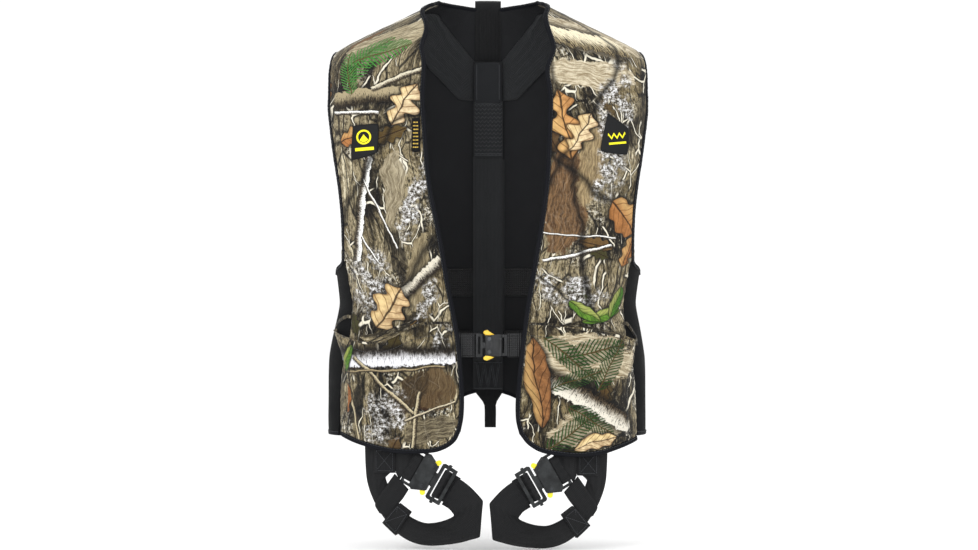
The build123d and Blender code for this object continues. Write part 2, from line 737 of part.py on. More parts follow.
GATE_R = 4.4
gate_foot = carabiner_plane.from_local_coords((-CARABINER_W, GATE_FOOT, 0))
with BuildPart() as gate:
    with BuildSketch(Plane(origin=gate_foot, z_dir=(0, 0, 1))):
        Circle(GATE_R)
    extrude(amount=GATE_TOP - GATE_FOOT + 2.4)
    with Locations(gate_foot):
        Sphere(GATE_R)
save(gate.part, "carabiner_gate")

with BuildPart() as locking_sleeve:
    with BuildSketch(Plane(origin=gate_foot + Vector(0, 0, 12), z_dir=(0, 0, 1))):
        Circle(GATE_R + 2.4)
        with PolarLocations(GATE_R + 2.4, 14):
            Circle(0.45, mode=Mode.SUBTRACT)
        Circle(GATE_R + 0.2, mode=Mode.SUBTRACT)
    extrude(amount=30)
save(locking_sleeve.part, "carabiner_sleeve")
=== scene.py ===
"""Looks of the safety harness vest: cloth, webbing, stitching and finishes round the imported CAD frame."""
import json
import math

import bmesh
import bpy
import numpy as np
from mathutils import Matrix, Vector, noise


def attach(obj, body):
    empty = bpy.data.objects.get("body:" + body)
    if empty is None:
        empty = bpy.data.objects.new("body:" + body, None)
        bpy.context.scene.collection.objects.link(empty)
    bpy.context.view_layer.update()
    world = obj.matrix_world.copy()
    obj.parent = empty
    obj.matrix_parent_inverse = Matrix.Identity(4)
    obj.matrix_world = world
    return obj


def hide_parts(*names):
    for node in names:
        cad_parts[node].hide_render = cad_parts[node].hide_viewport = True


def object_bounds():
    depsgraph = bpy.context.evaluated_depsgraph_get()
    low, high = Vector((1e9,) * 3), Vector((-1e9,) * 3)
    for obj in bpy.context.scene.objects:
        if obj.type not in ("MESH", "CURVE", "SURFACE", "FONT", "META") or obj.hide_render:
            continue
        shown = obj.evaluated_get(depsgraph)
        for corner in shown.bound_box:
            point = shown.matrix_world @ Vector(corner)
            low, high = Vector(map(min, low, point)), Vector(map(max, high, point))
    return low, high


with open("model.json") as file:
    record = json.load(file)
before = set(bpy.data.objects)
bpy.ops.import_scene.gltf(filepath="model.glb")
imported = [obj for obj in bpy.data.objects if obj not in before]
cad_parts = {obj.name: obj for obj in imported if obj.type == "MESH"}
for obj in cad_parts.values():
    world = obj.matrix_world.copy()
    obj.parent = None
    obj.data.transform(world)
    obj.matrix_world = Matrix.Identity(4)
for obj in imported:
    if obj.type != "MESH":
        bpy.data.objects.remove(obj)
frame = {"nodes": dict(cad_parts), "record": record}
CAD_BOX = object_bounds()

MM = 0.001


# ---- small mesh tools
def new_object(name, verts, faces, uvs=None, smooth=True):
    """A mesh object from vertices and faces; uvs gives one (u, v) per vertex."""
    mesh = bpy.data.meshes.new(name)
    mesh.from_pydata([tuple(v) for v in verts], [], [tuple(f) for f in faces])
    if uvs is not None:
        layer = mesh.uv_layers.new(name="UVMap")
        loops = np.empty(len(mesh.loops), dtype=np.int32)
        mesh.loops.foreach_get("vertex_index", loops)
        layer.data.foreach_set("uv", np.asarray(uvs, dtype=np.float32)[loops].ravel())
    if smooth:
        mesh.polygons.foreach_set("use_smooth", [True] * len(mesh.polygons))
    mesh.validate()
    obj = bpy.data.objects.new(name, mesh)
    bpy.context.scene.collection.objects.link(obj)
    return obj


def grid_faces(rows, cols, base=0, flip=False, wrap=False):
    """Quads over a grid of vertices; wrap joins the last column to the first."""
    faces = []
    last = cols if wrap else cols - 1
    for r in range(rows - 1):
        for c in range(last):
            d = (c + 1) % cols
            quad = (base + r * cols + c, base + r * cols + d,
                    base + (r + 1) * cols + d, base + (r + 1) * cols + c)
            faces.append(quad[::-1] if flip else quad)
    return faces


def unit(vectors):
    """The vectors at length one."""
    length = np.linalg.norm(vectors, axis=-1, keepdims=True)
    return vectors / np.maximum(length, 1e-9)


def grid_normals(points):
    """Unit normals of a (rows, cols, 3) grid of points."""
    return unit(np.cross(np.gradient(points, axis=1), np.gradient(points, axis=0)))


def headings(points):
    """Unit directions along a run of points."""
    return unit(np.gradient(points, axis=0))


def distances(points):
    """Distance along a run of points, from zero."""
    steps = np.linalg.norm(np.diff(points, axis=0), axis=1)
    return np.concatenate([[0], np.cumsum(steps)])


def fix_normals(obj, merge=False):
    """Turns every face outwards, after joining vertices that share a place where merge is set."""
    mesh = bmesh.new()
    mesh.from_mesh(obj.data)
    if merge:
        bmesh.ops.remove_doubles(mesh, verts=mesh.verts, dist=1e-6)
    bmesh.ops.recalc_face_normals(mesh, faces=mesh.faces)
    mesh.to_mesh(obj.data)
    mesh.free()


def swept(name, rings, uvs=None):
    """A closed solid through rings of points (mm), all with the same number of points."""
    count, ring = len(rings), len(rings[0])
    last = (count - 1) * ring
    faces = grid_faces(count, ring, wrap=True)
    faces.append(tuple(range(ring))[::-1])
    faces.append(tuple(range(last, last + ring)))
    obj = new_object(name, np.reshape(rings, (-1, 3)) * MM, faces, uvs)
    fix_normals(obj)
    return obj


def circle(count):
    """Evenly spaced turns round a full circle."""
    return np.linspace(0, 2 * math.pi, count, endpoint=False)


def flat_ring(cols):
    """Places round a strap's section: (column, face), face 1 on top and -1 underneath."""
    return [(k, 1) for k in range(cols)] + [(k, -1) for k in reversed(range(cols))]


def smooth_curve(points, count):
    """Catmull-Rom curve through the points, with count samples evenly spaced by length."""
    pts = np.asarray(points, dtype=float)
    pts = np.vstack([2 * pts[0] - pts[1], pts, 2 * pts[-1] - pts[-2]])
    fine = []
    steps = 24
    for i in range(1, len(pts) - 2):
        p0, p1, p2, p3 = pts[i - 1], pts[i], pts[i + 1], pts[i + 2]
        for k in range(steps):
            t = k / steps
            fine.append(0.5 * (2 * p1 + (p2 - p0) * t + (2 * p0 - 5 * p1 + 4 * p2 - p3) * t * t
                               + (3 * p1 - p0 - 3 * p2 + p3) * t ** 3))
    fine.append(pts[-2])
    return resample(np.array(fine), count)


def resample(points, count):
    """The run of points as count points evenly spaced by length."""
    pts = np.asarray(points, dtype=float)
    run = distances(pts)
    where = np.linspace(0, run[-1], count)
    return np.stack([np.interp(where, run, pts[:, k]) for k in range(pts.shape[1])], axis=1)


def wavy(p, scale, seed=0.0):
    """Smooth noise in -1..1 at a point, for folds and puckers."""
    return noise.noise(Vector((p[0] * scale + seed, p[1] * scale + seed * 1.7, p[2] * scale - seed)))


# ---- body form (millimetres)
LEVELS = np.array([
    (12, 50, 8, 58), (0, 74, 16, 64), (-20, 113, 34, 75), (-40, 153, 51, 85), (-60, 195, 65, 92),
    (-76, 225, 76, 97), (-92, 236, 85, 101), (-110, 240.5, 92, 104), (-165, 245, 107, 110),
    (-240, 243, 118, 113), (-330, 236, 122, 112), (-405, 225, 121, 108), (-450, 219, 119.5, 105),
    (-530, 228, 121, 105), (-640, 230, 124, 108), (-720, 230, 124, 108)], dtype=float)
SQUARENESS = 3.0


def level(z):
    """Half width, front depth and back depth of the body at a height."""
    down = -LEVELS[:, 0]
    at = np.clip(-np.asarray(z, dtype=float), down[0], down[-1])
    return [np.interp(at, down, LEVELS[:, k]) for k in (1, 2, 3)]


# One smooth table of the body's levels, so that the cloth has no creases at the levels
TABLE_Z = np.linspace(12, -720, 733)
KERNEL = np.hanning(27)
KERNEL = KERNEL / KERNEL.sum()


def smoothed(values):
    """The values run over by the kernel, carried on straight past both ends."""
    padded = np.pad(values, 13, mode="reflect", reflect_type="odd")
    return np.convolve(padded, KERNEL, mode="valid")


TABLE = [smoothed(row) for row in level(TABLE_Z)]


def body_point(turn, z, lift=0.0):
    """A point of the body form in mm: turn is 0 at the front centre, +90 at the right side."""
    half, front, back = (np.interp(-z, -TABLE_Z, row) for row in TABLE)
    s = np.sin(turn)
    c = np.cos(turn)
    depth = np.where(c > 0, front, back) + lift
    half = half + lift
    x = half * np.sign(s) * np.abs(s) ** (2 / SQUARENESS)
    y = -depth * np.sign(c) * np.abs(c) ** (2 / SQUARENESS)
    return np.stack([x, y, z + 0 * x], axis=-1)


def turn_at_x(x, z, back=False):
    """The turn at which the body form passes a front-view x at a height."""
    half = np.interp(-z, -TABLE_Z, TABLE[0])
    share = np.clip(np.abs(x) / half, 0, 1)
    turn = np.arcsin(share ** (SQUARENESS / 2))
    turn = math.pi - turn if back else turn
    return np.where(np.asarray(x) < 0, -turn, turn)


def turn_at_y(y, z, side):
    """The turn at which the body form passes a side-view y at a height, on one side."""
    depth = np.where(np.asarray(y) < 0, np.interp(-z, -TABLE_Z, TABLE[1]),
                     np.interp(-z, -TABLE_Z, TABLE[2]))
    share = np.clip(np.abs(y) / depth, 0, 1)
    turn = np.arccos(share ** (SQUARENESS / 2))
    turn = np.where(np.asarray(y) > 0, math.pi - turn, turn)
    return side * turn


# ---- outlines (millimetres)
SEAM_Y = 20.0
INNER = {   # front edge, neck corner to the turn of the hem
    -1: [(-74, 0), (-91, -31), (-94.5, -80), (-93, -154), (-84, -270), (-70, -343), (-55, -430),
         (-42, -500), (-36, -570), (-36, -610), (-40, -634)],
    1: [(74, 0), (83, -25), (90, -90), (89, -154), (84, -270), (74, -345), (60, -430), (49, -505),
        (42, -576), (41, -615), (46, -638)]}
HEM = {     # hem, from there to the side seam
    -1: [(-40, -634), (-49, -650), (-66, -661), (-90, -666), (-136, -666), (-180, -657),
         (-216, -643)],
    1: [(46, -638), (58, -653), (76, -664), (98, -669), (130, -672), (165, -669), (195, -660),
        (219, -650)]}
ARM_FRONT = [(20, -79), (-10, -84), (-34, -104), (-54, -180), (-71, -260), (-76, -320),
             (-72, -360), (-66, -387)]
ARM_UNDER = [(-66, -387), (-45, -396), (0, -403), (45, -396), (66, -380)]
ARM_BACK = [(66, -380), (71, -330), (66, -250), (56, -170), (42, -108), (20, -79)]
SEAM_X = [(-209, -387), (-202, -430), (-199, -460), (-204, -505), (-216, -565), (-219, -643)]
BACK_HEM = [(-219, -643), (-170, -637), (-120, -628), (-70, -609), (-30, -590), (0, -585),
            (30, -590), (70, -609), (120, -628), (170, -637), (219, -643)]


def as_surface(points, kind, side=1, back=False):
    """Outline points (x, z) or (y, z) as (turn, z) on the body form."""
    pts = np.asarray(points, dtype=float)
    if kind == "x":
        return np.stack([turn_at_x(pts[:, 0], pts[:, 1], back), pts[:, 1]], axis=1)
    return np.stack([turn_at_y(pts[:, 0], pts[:, 1], side), pts[:, 1]], axis=1)


def coons(top, bottom, left, right):
    """Surface grid from four sides: top and bottom share a length, so do left and right."""
    rows, cols = len(left), len(top)
    v = np.linspace(0, 1, rows)[:, None, None]
    u = np.linspace(0, 1, cols)[None, :, None]
    ruled_v = (1 - v) * top[None] + v * bottom[None]
    ruled_u = (1 - u) * left[:, None] + u * right[:, None]
    corners = ((1 - u) * (1 - v) * top[0] + u * (1 - v) * top[-1]
               + (1 - u) * v * bottom[0] + u * v * bottom[-1])
    return ruled_v + ruled_u - corners


def print_uv(turn, z):
    """Cloth coordinates in metres: distance round the body from the front centre, and height."""
    fine = np.linspace(0, 2 * math.pi, 361)
    ring = body_point(fine, np.full_like(fine, -400.0))
    run = distances(ring)
    around = np.interp(np.abs(turn), fine, run) * np.sign(turn)
    return np.stack([around * MM, z * MM], axis=-1)


def cloth_shell(name, grid, thick, relief, lift=0.0):
    """A cloth panel from a (turn, z) grid: outer face, inner face and rim, in slots 0 and 1."""
    rows, cols = grid.shape[:2]
    outer = body_point(grid[..., 0], grid[..., 1], lift)
    normals = grid_normals(outer)
    normals *= np.sign((normals * outer * (1, 1, 0)).sum())
    push = np.array([[relief(outer[r, c], r / (rows - 1), c / (cols - 1)) for c in range(cols)]
                     for r in range(rows)])
    outer = outer + normals * push[..., None]
    inner = outer - normals * thick
    verts = np.concatenate([outer.reshape(-1, 3), inner.reshape(-1, 3)]) * MM
    uv = print_uv(grid[..., 0], grid[..., 1]).reshape(-1, 2)
    facing = np.cross(outer[0, 1] - outer[0, 0], outer[1, 1] - outer[0, 0])
    flip = (facing * normals[0, 0]).sum() < 0
    total = rows * cols
    outer_faces = grid_faces(rows, cols, 0, flip)
    inner_faces = grid_faces(rows, cols, total, not flip)
    ring = (list(range(cols)) + [r * cols + cols - 1 for r in range(1, rows)]
            + [(rows - 1) * cols + c for c in range(cols - 2, -1, -1)]
            + [r * cols for r in range(rows - 2, 0, -1)])
    rim = []
    for here, ahead in zip(ring, ring[1:] + ring[:1]):
        quad = (here, ahead, ahead + total, here + total)
        rim.append(quad if flip else quad[::-1])
    obj = new_object(name, verts, outer_faces + inner_faces + rim, np.concatenate([uv, uv]))
    slots = np.zeros(len(obj.data.polygons), dtype=np.int32)
    slots[len(outer_faces):] = 1
    obj.data.polygons.foreach_set("material_index", slots)
    return obj, outer, normals


BAND_CORNERS = 14


def tube_band(name, path, normals, across, half_width, thick, pucker=0.35, seed=0.0):
    """Binding tape folded over an edge: a rounded flat section swept along a path (mm).

    across points into the cloth, normals out of it; the edge is the path itself."""
    section = []
    for turn in circle(BAND_CORNERS):
        c, s = math.cos(turn), math.sin(turn)
        section.append((math.copysign(abs(c) ** 0.6, c), math.copysign(abs(s) ** 0.7, s)))
    run = distances(path)
    rings = []
    uvs = []
    for i, place in enumerate(path):
        ripple = pucker * wavy(place, 0.11, seed) + 0.5 * pucker * math.sin(run[i] * 0.9)
        spread = half_width + 0.5 * pucker * wavy(place, 0.05, seed + 3)
        for k, (a, b) in enumerate(section):
            out = (thick + (ripple if b > 0 else 0.2 * ripple)) * b
            rings.append(place + across[i] * (half_width - 0.6 + a * spread) + normals[i] * out)
            uvs.append((run[i] * MM, k / BAND_CORNERS * 4 * half_width * MM))
    return swept(name, np.reshape(rings, (len(path), BAND_CORNERS, 3)), uvs)


def webbing(name, plane, out, thick, rounded, width, waves):
    """Webbing round its middle plane, a grid of points (mm) with directions out of it.

    waves is (height, pitch, seed) of its folds; rounded is how far its edges thin out."""
    count, cols = plane.shape[:2]
    side = np.linspace(-1, 1, cols)
    crown = 1 - rounded * np.abs(side) ** 8
    run = distances(plane[:, cols // 2])
    ridge, pitch, seed = waves
    rings = []
    uvs = []
    for i in range(count):
        for k, face in flat_ring(cols):
            rise = 0.5 * thick * crown[k] * face + ridge * wavy(plane[i, k], pitch, seed)
            rings.append(plane[i, k] + out[i, k] * rise)
            uvs.append((side[k] * width[i] / 2 * MM, run[i] * MM))
    return swept(name, np.reshape(rings, (count, 2 * cols, 3)), uvs)


def ribbon(name, centre, across, width, thick, out, ridge=0.0, seed=0.0, cols=9):
    """A flat strap along centre (mm), with across and out directions per point."""
    width = np.broadcast_to(width, len(centre))
    side = np.linspace(-1, 1, cols)[None, :, None]
    plane = centre[:, None] + across[:, None] * side * width[:, None, None] / 2
    outward = np.repeat(out[:, None], cols, axis=1)
    return webbing(name, plane, outward, thick, 0.35, width, (ridge, 0.045, seed))


NO_RUN = (0.13, 0.41, 0.9)     # a direction that no stitching runs along


def threads(name, runs, radius=0.42, segments=5):
    """Sewing thread: one mesh of thin tubes along each run of points (mm)."""
    verts = []
    faces = []
    for points in runs:
        pts = np.asarray(points, dtype=float)
        heading = headings(pts)
        a = unit(np.cross(heading, NO_RUN))
        b = np.cross(heading, a)
        base = len(verts)
        for i in range(len(pts)):
            for k in range(segments):
                turn = 2 * math.pi * k / segments
                verts.append((pts[i] + (a[i] * math.cos(turn) + b[i] * math.sin(turn)) * radius) * MM)
        faces += grid_faces(len(pts), segments, base, wrap=True)
        faces.append(tuple(base + k for k in range(segments))[::-1])
        last = base + (len(pts) - 1) * segments
        faces.append(tuple(last + k for k in range(segments)))
    obj = new_object(name, verts, faces)
    fix_normals(obj)
    return obj


def dashes(path, lift, stitch=3.2, gap=1.4, bow=0.35):
    """Running stitches along a path (mm): short arched runs lifted along the given normals."""
    run = distances(path)
    runs = []
    start = 0.0
    while start + stitch < run[-1]:
        at = np.linspace(start, start + stitch, 4)
        pts = np.stack([np.interp(at, run, path[:, k]) for k in range(3)], axis=1)
        nor = np.stack([np.interp(at, run, lift[:, k]) for k in range(3)], axis=1)
        pts = pts + nor * np.array([-0.15, bow, bow, -0.15])[:, None]
        runs.append(pts)
        start += stitch + gap
    return runs


# ---- cloth panels
SIDES = ((-1, "left"), (1, "right"))
WORDS = ("left", "right")
TURN_SCALE = 200.0     # mm of cloth per radian, so that outlines resample evenly


def curve_on_body(points, count):
    """A smooth run through (turn, z) points, evenly spaced on the cloth."""
    scaled = np.asarray(points, dtype=float) * (TURN_SCALE, 1)
    return smooth_curve(scaled, count) / (TURN_SCALE, 1)


def front_run(points, count):
    """Front-view points (x, z) as a smooth run on the front of the body form."""
    return curve_on_body(as_surface(points, "x"), count)


def around_back(surface_points):
    """Turns on the left half carried past pi, so that the back is one continuous run."""
    pts = surface_points.copy()
    pts[:, 0] = np.where(pts[:, 0] < 0, pts[:, 0] + 2 * math.pi, pts[:, 0])
    return pts


def mirrored_x(points, side):
    """Left-side front-view points, mirrored for side 1."""
    return [(side * -x, z) for x, z in points]


def quilt(p, v, u):
    """Relief of the outer cloth in mm: soft folds that run with the drape, and small puckers."""
    long_fold = 1.5 * wavy((p[0], p[1], p[2] * 0.35), 0.012, 4.0)
    small = 0.55 * wavy(p, 0.035, 9.0) + 0.22 * wavy(p, 0.09, 2.0)
    edge = min(u, 1 - u, v, 1 - v)
    pull = min(1.0, edge * 9)
    pucker = 0.35 * (1 - pull) * math.sin(p[2] * 0.55 + 2 * wavy(p, 0.03))
    return (long_fold + small) * pull + pucker - 0.4 * (1 - pull)


def flat_relief(p, v, u):
    """Relief of the lining in mm: nearly smooth."""
    return 0.25 * wavy(p, 0.03, 5.0)


SWELL = {-1: 8.0, 1: 5.0}      # mm that the stretch panels stand out over the hips
HIPS_Z, HIPS_HIGH = -575, 95.0


def hip_swell(side, z, u):
    """How far a stretch panel stands out (mm) between its seams (u from 0 to 1) at a height."""
    over_hips = math.exp(-((z - HIPS_Z) / HIPS_HIGH) ** 4)
    return SWELL[side] * over_hips * math.sin(math.pi * min(1.0, max(0.0, u))) ** 0.8


def side_relief(side):
    """Relief of a stretch panel in mm: its swell over the hips and small folds."""
    def relief(p, v, u):
        return hip_swell(side, p[2], u) + 0.6 * wavy(p, 0.02, 5.0) * math.sin(math.pi * u)
    return relief


SHOULDER = [(SEAM_Y, z) for z in (0, -18, -38, -58, -79)]
ROWS, COLS = 210, 66
edges = {}             # named edge runs on the body, as (turn, z), for binding and stitching

for side, word in SIDES:
    top = curve_on_body(as_surface(SHOULDER, "y", side), COLS)
    inner_pts = as_surface(INNER[side], "x")
    inner_pts[0] = top[0]
    hem_pts = as_surface(HEM[side], "x")
    outer_pts = np.concatenate([as_surface(ARM_FRONT, "y", side),
                                as_surface(mirrored_x(SEAM_X[1:-1], side), "x"),
                                hem_pts[-1:]])
    outer_pts[0] = top[-1]
    inner_run = curve_on_body(inner_pts, ROWS)
    hem_run = curve_on_body(hem_pts, COLS)
    outer_run = curve_on_body(outer_pts, ROWS)
    grid = coons(top, hem_run, inner_run, outer_run)
    panel, _, _ = cloth_shell(f"front_cloth_{word}", grid, 2.6, quilt)
    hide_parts(f"front_panel_{word}")
    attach(panel, "vest")
    edges[f"front_{word}"] = np.concatenate([inner_run, hem_run[1:]])

    seam_front = front_run(mirrored_x(SEAM_X, side), 90)
    seam_back = curve_on_body(as_surface(mirrored_x(SEAM_X, side), "x", back=True), 90)
    under = as_surface(ARM_UNDER, "y", side)
    under[0], under[-1] = seam_front[0], seam_back[0]
    under = curve_on_body(under, 60)
    foot = np.linspace(seam_front[-1], seam_back[-1], 60)
    grid = coons(under, foot, seam_front, seam_back)
    stretch, _, _ = cloth_shell(f"stretch_side_{word}", grid, 2.2, side_relief(side))
    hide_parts(f"side_panel_{word}")
    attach(stretch, "vest")

    arm = np.concatenate([as_surface(ARM_FRONT, "y", side)[:-1], as_surface(ARM_UNDER, "y", side),
                          as_surface(ARM_BACK, "y", side)[1:]])
    edges[f"arm_{word}"] = curve_on_body(arm, 330)

# The back: neck corner to neck corner over the back neckline, arms, side seams, arched hem
NECKLINE = [(74, 0), (62, -0.6), (40, -2.8), (0, -6), (-40, -2.8), (-62, -0.6), (-74, 0)]
neck_run = around_back(as_surface(NECKLINE, "x", back=True))
right_shoulder = as_surface(SHOULDER, "y", 1)[::-1]
left_shoulder = around_back(as_surface(SHOULDER, "y", -1))
neck_run[0] = right_shoulder[-1]
neck_run[-1] = left_shoulder[0]
top = np.concatenate([curve_on_body(right_shoulder, 46)[:-1], curve_on_body(neck_run, 60),
                      curve_on_body(left_shoulder, 46)[1:]])
hem_back = curve_on_body(around_back(as_surface(BACK_HEM[::-1], "x", back=True)), len(top))
sides = []
for side in (1, -1):
    arm = as_surface(ARM_BACK[::-1], "y", side)
    seam = as_surface(mirrored_x(SEAM_X[1:], side), "x", back=True)
    run = around_back(np.concatenate([arm, seam]))
    sides.append(run)
sides[0][0], sides[0][-1] = top[0], hem_back[0]
sides[1][0], sides[1][-1] = top[-1], hem_back[-1]
back_grid = coons(top, hem_back, curve_on_body(sides[0], 200), curve_on_body(sides[1], 200))
back_cloth, _, _ = cloth_shell("back_cloth", back_grid, 1.6, quilt)
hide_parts("back_panel")
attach(back_cloth, "vest")
lining, _, _ = cloth_shell("back_lining_cloth", back_grid, 0.9, flat_relief, lift=-2.6)
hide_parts("back_lining")
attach(lining, "vest")
edges["neck"] = curve_on_body(neck_run, 120)
FOOT_STEPS = 40
side_feet = [around_back(as_surface(mirrored_x(SEAM_X[-1:], side), "x"))[0] for side in (1, -1)]
edges["back_hem"] = np.concatenate([
    np.linspace(side_feet[0], hem_back[0], FOOT_STEPS)[:-1], hem_back,
    np.linspace(hem_back[-1], side_feet[1], FOOT_STEPS)[1:]])


# ---- binding tape
def run_on_body(run, lift):
    """Points (mm), outward normals and sideways directions along a run of (turn, z)."""
    pts = body_point(run[:, 0], run[:, 1], lift)
    aside = body_point(run[:, 0] + 0.001, run[:, 1], lift) - pts
    below = body_point(run[:, 0], run[:, 1] - 0.2, lift) - pts
    normal = unit(np.cross(aside, below))
    normal *= np.sign((normal * pts * (1, 1, 0)).sum(axis=1, keepdims=True))
    return pts, normal, np.cross(normal, headings(pts))


def edge_frame(run, inward_turn, inward_z, lift=0.0):
    """3-D points, outward normals and into-the-cloth directions along a run of (turn, z)."""
    pts, normal, across = run_on_body(run, lift)
    across = unit(across)
    target = body_point(inward_turn, inward_z)
    middle = len(pts) // 2
    if ((target - pts[middle]) * across[middle]).sum() < 0:
        across = -across
    return pts, normal, across


BANDS = [("front_left", "front_tape_left", "front_binding_left", (-0.9, -300), 3.6, 2.7),
         ("front_right", "front_tape_right", "front_binding_right", (0.9, -300), 3.6, 2.7),
         ("arm_left", "arm_tape_left", "armhole_binding_left", (-1.5, -480), 3.2, 2.4),
         ("arm_right", "arm_tape_right", "armhole_binding_right", (1.5, -480), 3.2, 2.4),
         ("neck", "neck_tape", "neck_binding", (math.pi, -200), 3.2, 2.4),
         ("back_hem", "back_hem_tape", "back_hem_binding", (math.pi, -400), 3.4, 2.4)]
stitch_runs = []
for number, (key, name, node, inward, half_width, thick) in enumerate(BANDS):
    pts, normal, across = edge_frame(edges[key], *inward, lift=-1.3)
    if key == "back_hem":
        shares = [k / (FOOT_STEPS - 1) for k in range(FOOT_STEPS)]
        for k, share in enumerate(shares):
            pts[k] += normal[k] * hip_swell(1, pts[k][2], share)
            pts[-1 - k] += normal[-1 - k] * hip_swell(-1, pts[-1 - k][2], share)
    band = tube_band(name, pts, normal, across, half_width, thick, pucker=0.4, seed=number * 3.1)
    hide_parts(node)
    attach(band, "vest")
    row = pts + across * (2 * half_width - 2.0) + normal * (thick + 0.1)
    stitch_runs += dashes(row, normal)

binding_thread = threads("binding_stitches", stitch_runs, radius=0.28)
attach(binding_thread, "vest")

# ---- sheets on the body form
def side_turn(side, turn):
    """Turns of one side counted through the back, so that a strap over a shoulder is one run."""
    return turn if side == 1 or turn > 0 else turn + 2 * math.pi


def sheet_between(name, edge_a, edge_b, thick, lift, count, ridge=0.5, seed=0.0, cols=15):
    """Webbing on the body form between two edges given as (turn, z)."""
    runs = [curve_on_body(edge, count) for edge in (edge_a, edge_b)]
    share = np.linspace(0, 1, cols)[None, :, None]
    grid = runs[0][:, None] * (1 - share) + runs[1][:, None] * share
    skin = body_point(grid[..., 0], grid[..., 1], lift)
    normals = grid_normals(skin)
    normals *= np.sign((normals * skin * (1, 1, 0)).sum())
    width = np.linalg.norm((runs[0] - runs[1]) * (TURN_SCALE, 1), axis=1)
    return webbing(name, skin, normals, thick, 0.4, width, (ridge, 0.03, seed))


# ---- pockets
MOUTH = {-1: [(-221, -487), (-198, -501), (-171, -507), (-145, -500), (-120, -487), (-99, -479),
              (-76, -477), (-53, -477)],
         1: [(216, -511), (204, -503), (189, -498), (165, -491.5), (146, -488), (120, -483),
             (98, -480), (76, -478.5), (59, -478)]}
POCKET_IN = {-1: [(-53, -477), (-49, -510), (-43.5, -570), (-43.5, -610), (-48, -631)],
             1: [(59, -478), (56, -510), (49.5, -576), (48.5, -614), (53, -634)]}
POCKET_FOOT = {-1: [(-48, -631), (-56, -645), (-71, -653), (-92, -658), (-136, -658),
                    (-178, -650), (-206, -640)],
               1: [(53, -634), (64, -648), (80, -657), (100, -661.5), (130, -664), (164, -661),
                   (192, -653), (208, -646)]}
POCKET_OUT = {-1: [(-221, -487), (-209, -540), (-204, -580), (-206, -640)],
              1: [(216, -511), (206, -560), (204, -600), (208, -646)]}


HEM_SEAMS = (2.5, 19.5)      # rows of stitching below the mouth, mm
POCKET_HIGH = 172.0          # mm from the mouth to the foot

# The rim of the pocket's back, and the part of its mouth that folds outwards: front-view (x, z)
BACK_RIM = {-1: [(-222, -489), (-219, -481), (-211, -473.5), (-204, -470.5), (-199, -471)],
            1: [(217, -511), (215, -498), (210, -489), (202, -478), (197, -477)]}
LIP_FOOT = {-1: [(-180, -499), (-168, -506.5), (-149, -505), (-128, -496), (-110, -483.5), (-99, -474)],
            1: [(206, -504), (188, -498.5), (166, -493), (146, -488.5), (122, -484), (100, -481)]}
LIP_TOP = {-1: [(-180, -495), (-168, -494.5), (-149, -490.5), (-128, -482), (-110, -475.5), (-99, -472)],
           1: [(206, -502), (188, -494.5), (166, -488), (146, -483.5), (122, -480.5), (100, -479.5)]}


def pocket_relief(side):
    """Relief of a pocket in mm: its gape at the mouth, folds and hem seams."""
    def relief(p, v, u):
        # u runs from the front edge outwards, v from the mouth down
        swell = (1 - v) ** 1.4 * math.sin(math.pi * min(1, max(0, 0.08 + 0.88 * u))) ** 0.7
        gape = 7.0 * swell + 5.0 * (1 - v) ** 3 * math.exp(-((u - 0.86) / 0.16) ** 2)
        sides = min(1.0, 12 * min(u, 1 - u, 1 - v + 0.04))
        folds = 0.8 * wavy((p[0], p[1], p[2] * 0.6), 0.022, 7 + side) + 0.4 * wavy(p, 0.05, 3.0)
        depth = v * POCKET_HIGH
        seams = sum(math.exp(-((depth - at) / 1.1) ** 2) for at in HEM_SEAMS)
        return 1.2 + gape * sides + folds * sides - 0.9 * seams
    return relief


pocket_threads = []
for side, word in SIDES:
    rows, cols = 90, 76
    grid = coons(front_run(MOUTH[side][::-1], cols), front_run(POCKET_FOOT[side], cols),
                 front_run(POCKET_IN[side], rows), front_run(POCKET_OUT[side], rows))
    pouch, surface, normal = cloth_shell(f"pocket_cloth_{word}", grid, 1.5, pocket_relief(side))
    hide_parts(f"pocket_{word}")
    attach(pouch, "vest")
    rim = surface[0]
    down = unit(surface[1] - surface[0])
    rolled = tube_band(f"pocket_rim_{word}", rim - normal[0] * 0.8 - down * 0.8, normal[0], down,
                       2.2, 1.7, pucker=0.25, seed=side * 2.0)
    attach(rolled, "vest")
    arc = front_run(BACK_RIM[side], 40)
    arc_pts = body_point(arc[:, 0], arc[:, 1], 2.2)
    arc_out = unit(arc_pts * (1, 1, 0))
    arc_down = unit(np.cross(arc_out, np.gradient(arc_pts, axis=0)))
    back_rim = tube_band(f"pocket_back_rim_{word}", arc_pts, arc_out, arc_down, 2.4, 1.5, pucker=0.3,
                         seed=side * 4.0)
    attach(back_rim, "vest")
    lip = sheet_between(f"pocket_lip_{word}", as_surface(LIP_FOOT[side], "x"),
                        as_surface(LIP_TOP[side], "x"), 1.6, 7.6, 70, ridge=0.8, seed=side * 6)
    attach(lip, "vest")
    for depth in HEM_SEAMS:
        at = int(round(depth / POCKET_HIGH * (rows - 1)))
        pocket_threads += dashes(surface[at] + normal[at] * 0.25, normal[at], 2.8, 1.2, 0.3)
    side_seam, seam_out = surface[:, cols - 3], normal[:, cols - 3]
    pocket_threads += dashes(side_seam + seam_out * 0.25, seam_out, 2.8, 1.2, 0.3)
pocket_stitches = threads("pocket_stitches", pocket_threads, radius=0.26)
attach(pocket_stitches, "vest")


# ---- straps inside the vest
def strap_on_body(name, turns, z, width, thick, lift, count, ridge=0.5, seed=0.0):
    """Webbing lying round the body form at one height."""
    run = curve_on_body([(turn, z) for turn in turns], count)
    pts, normal, across = run_on_body(run, lift)
    return ribbon(name, pts, across, width, thick, normal, ridge=ridge, seed=seed)


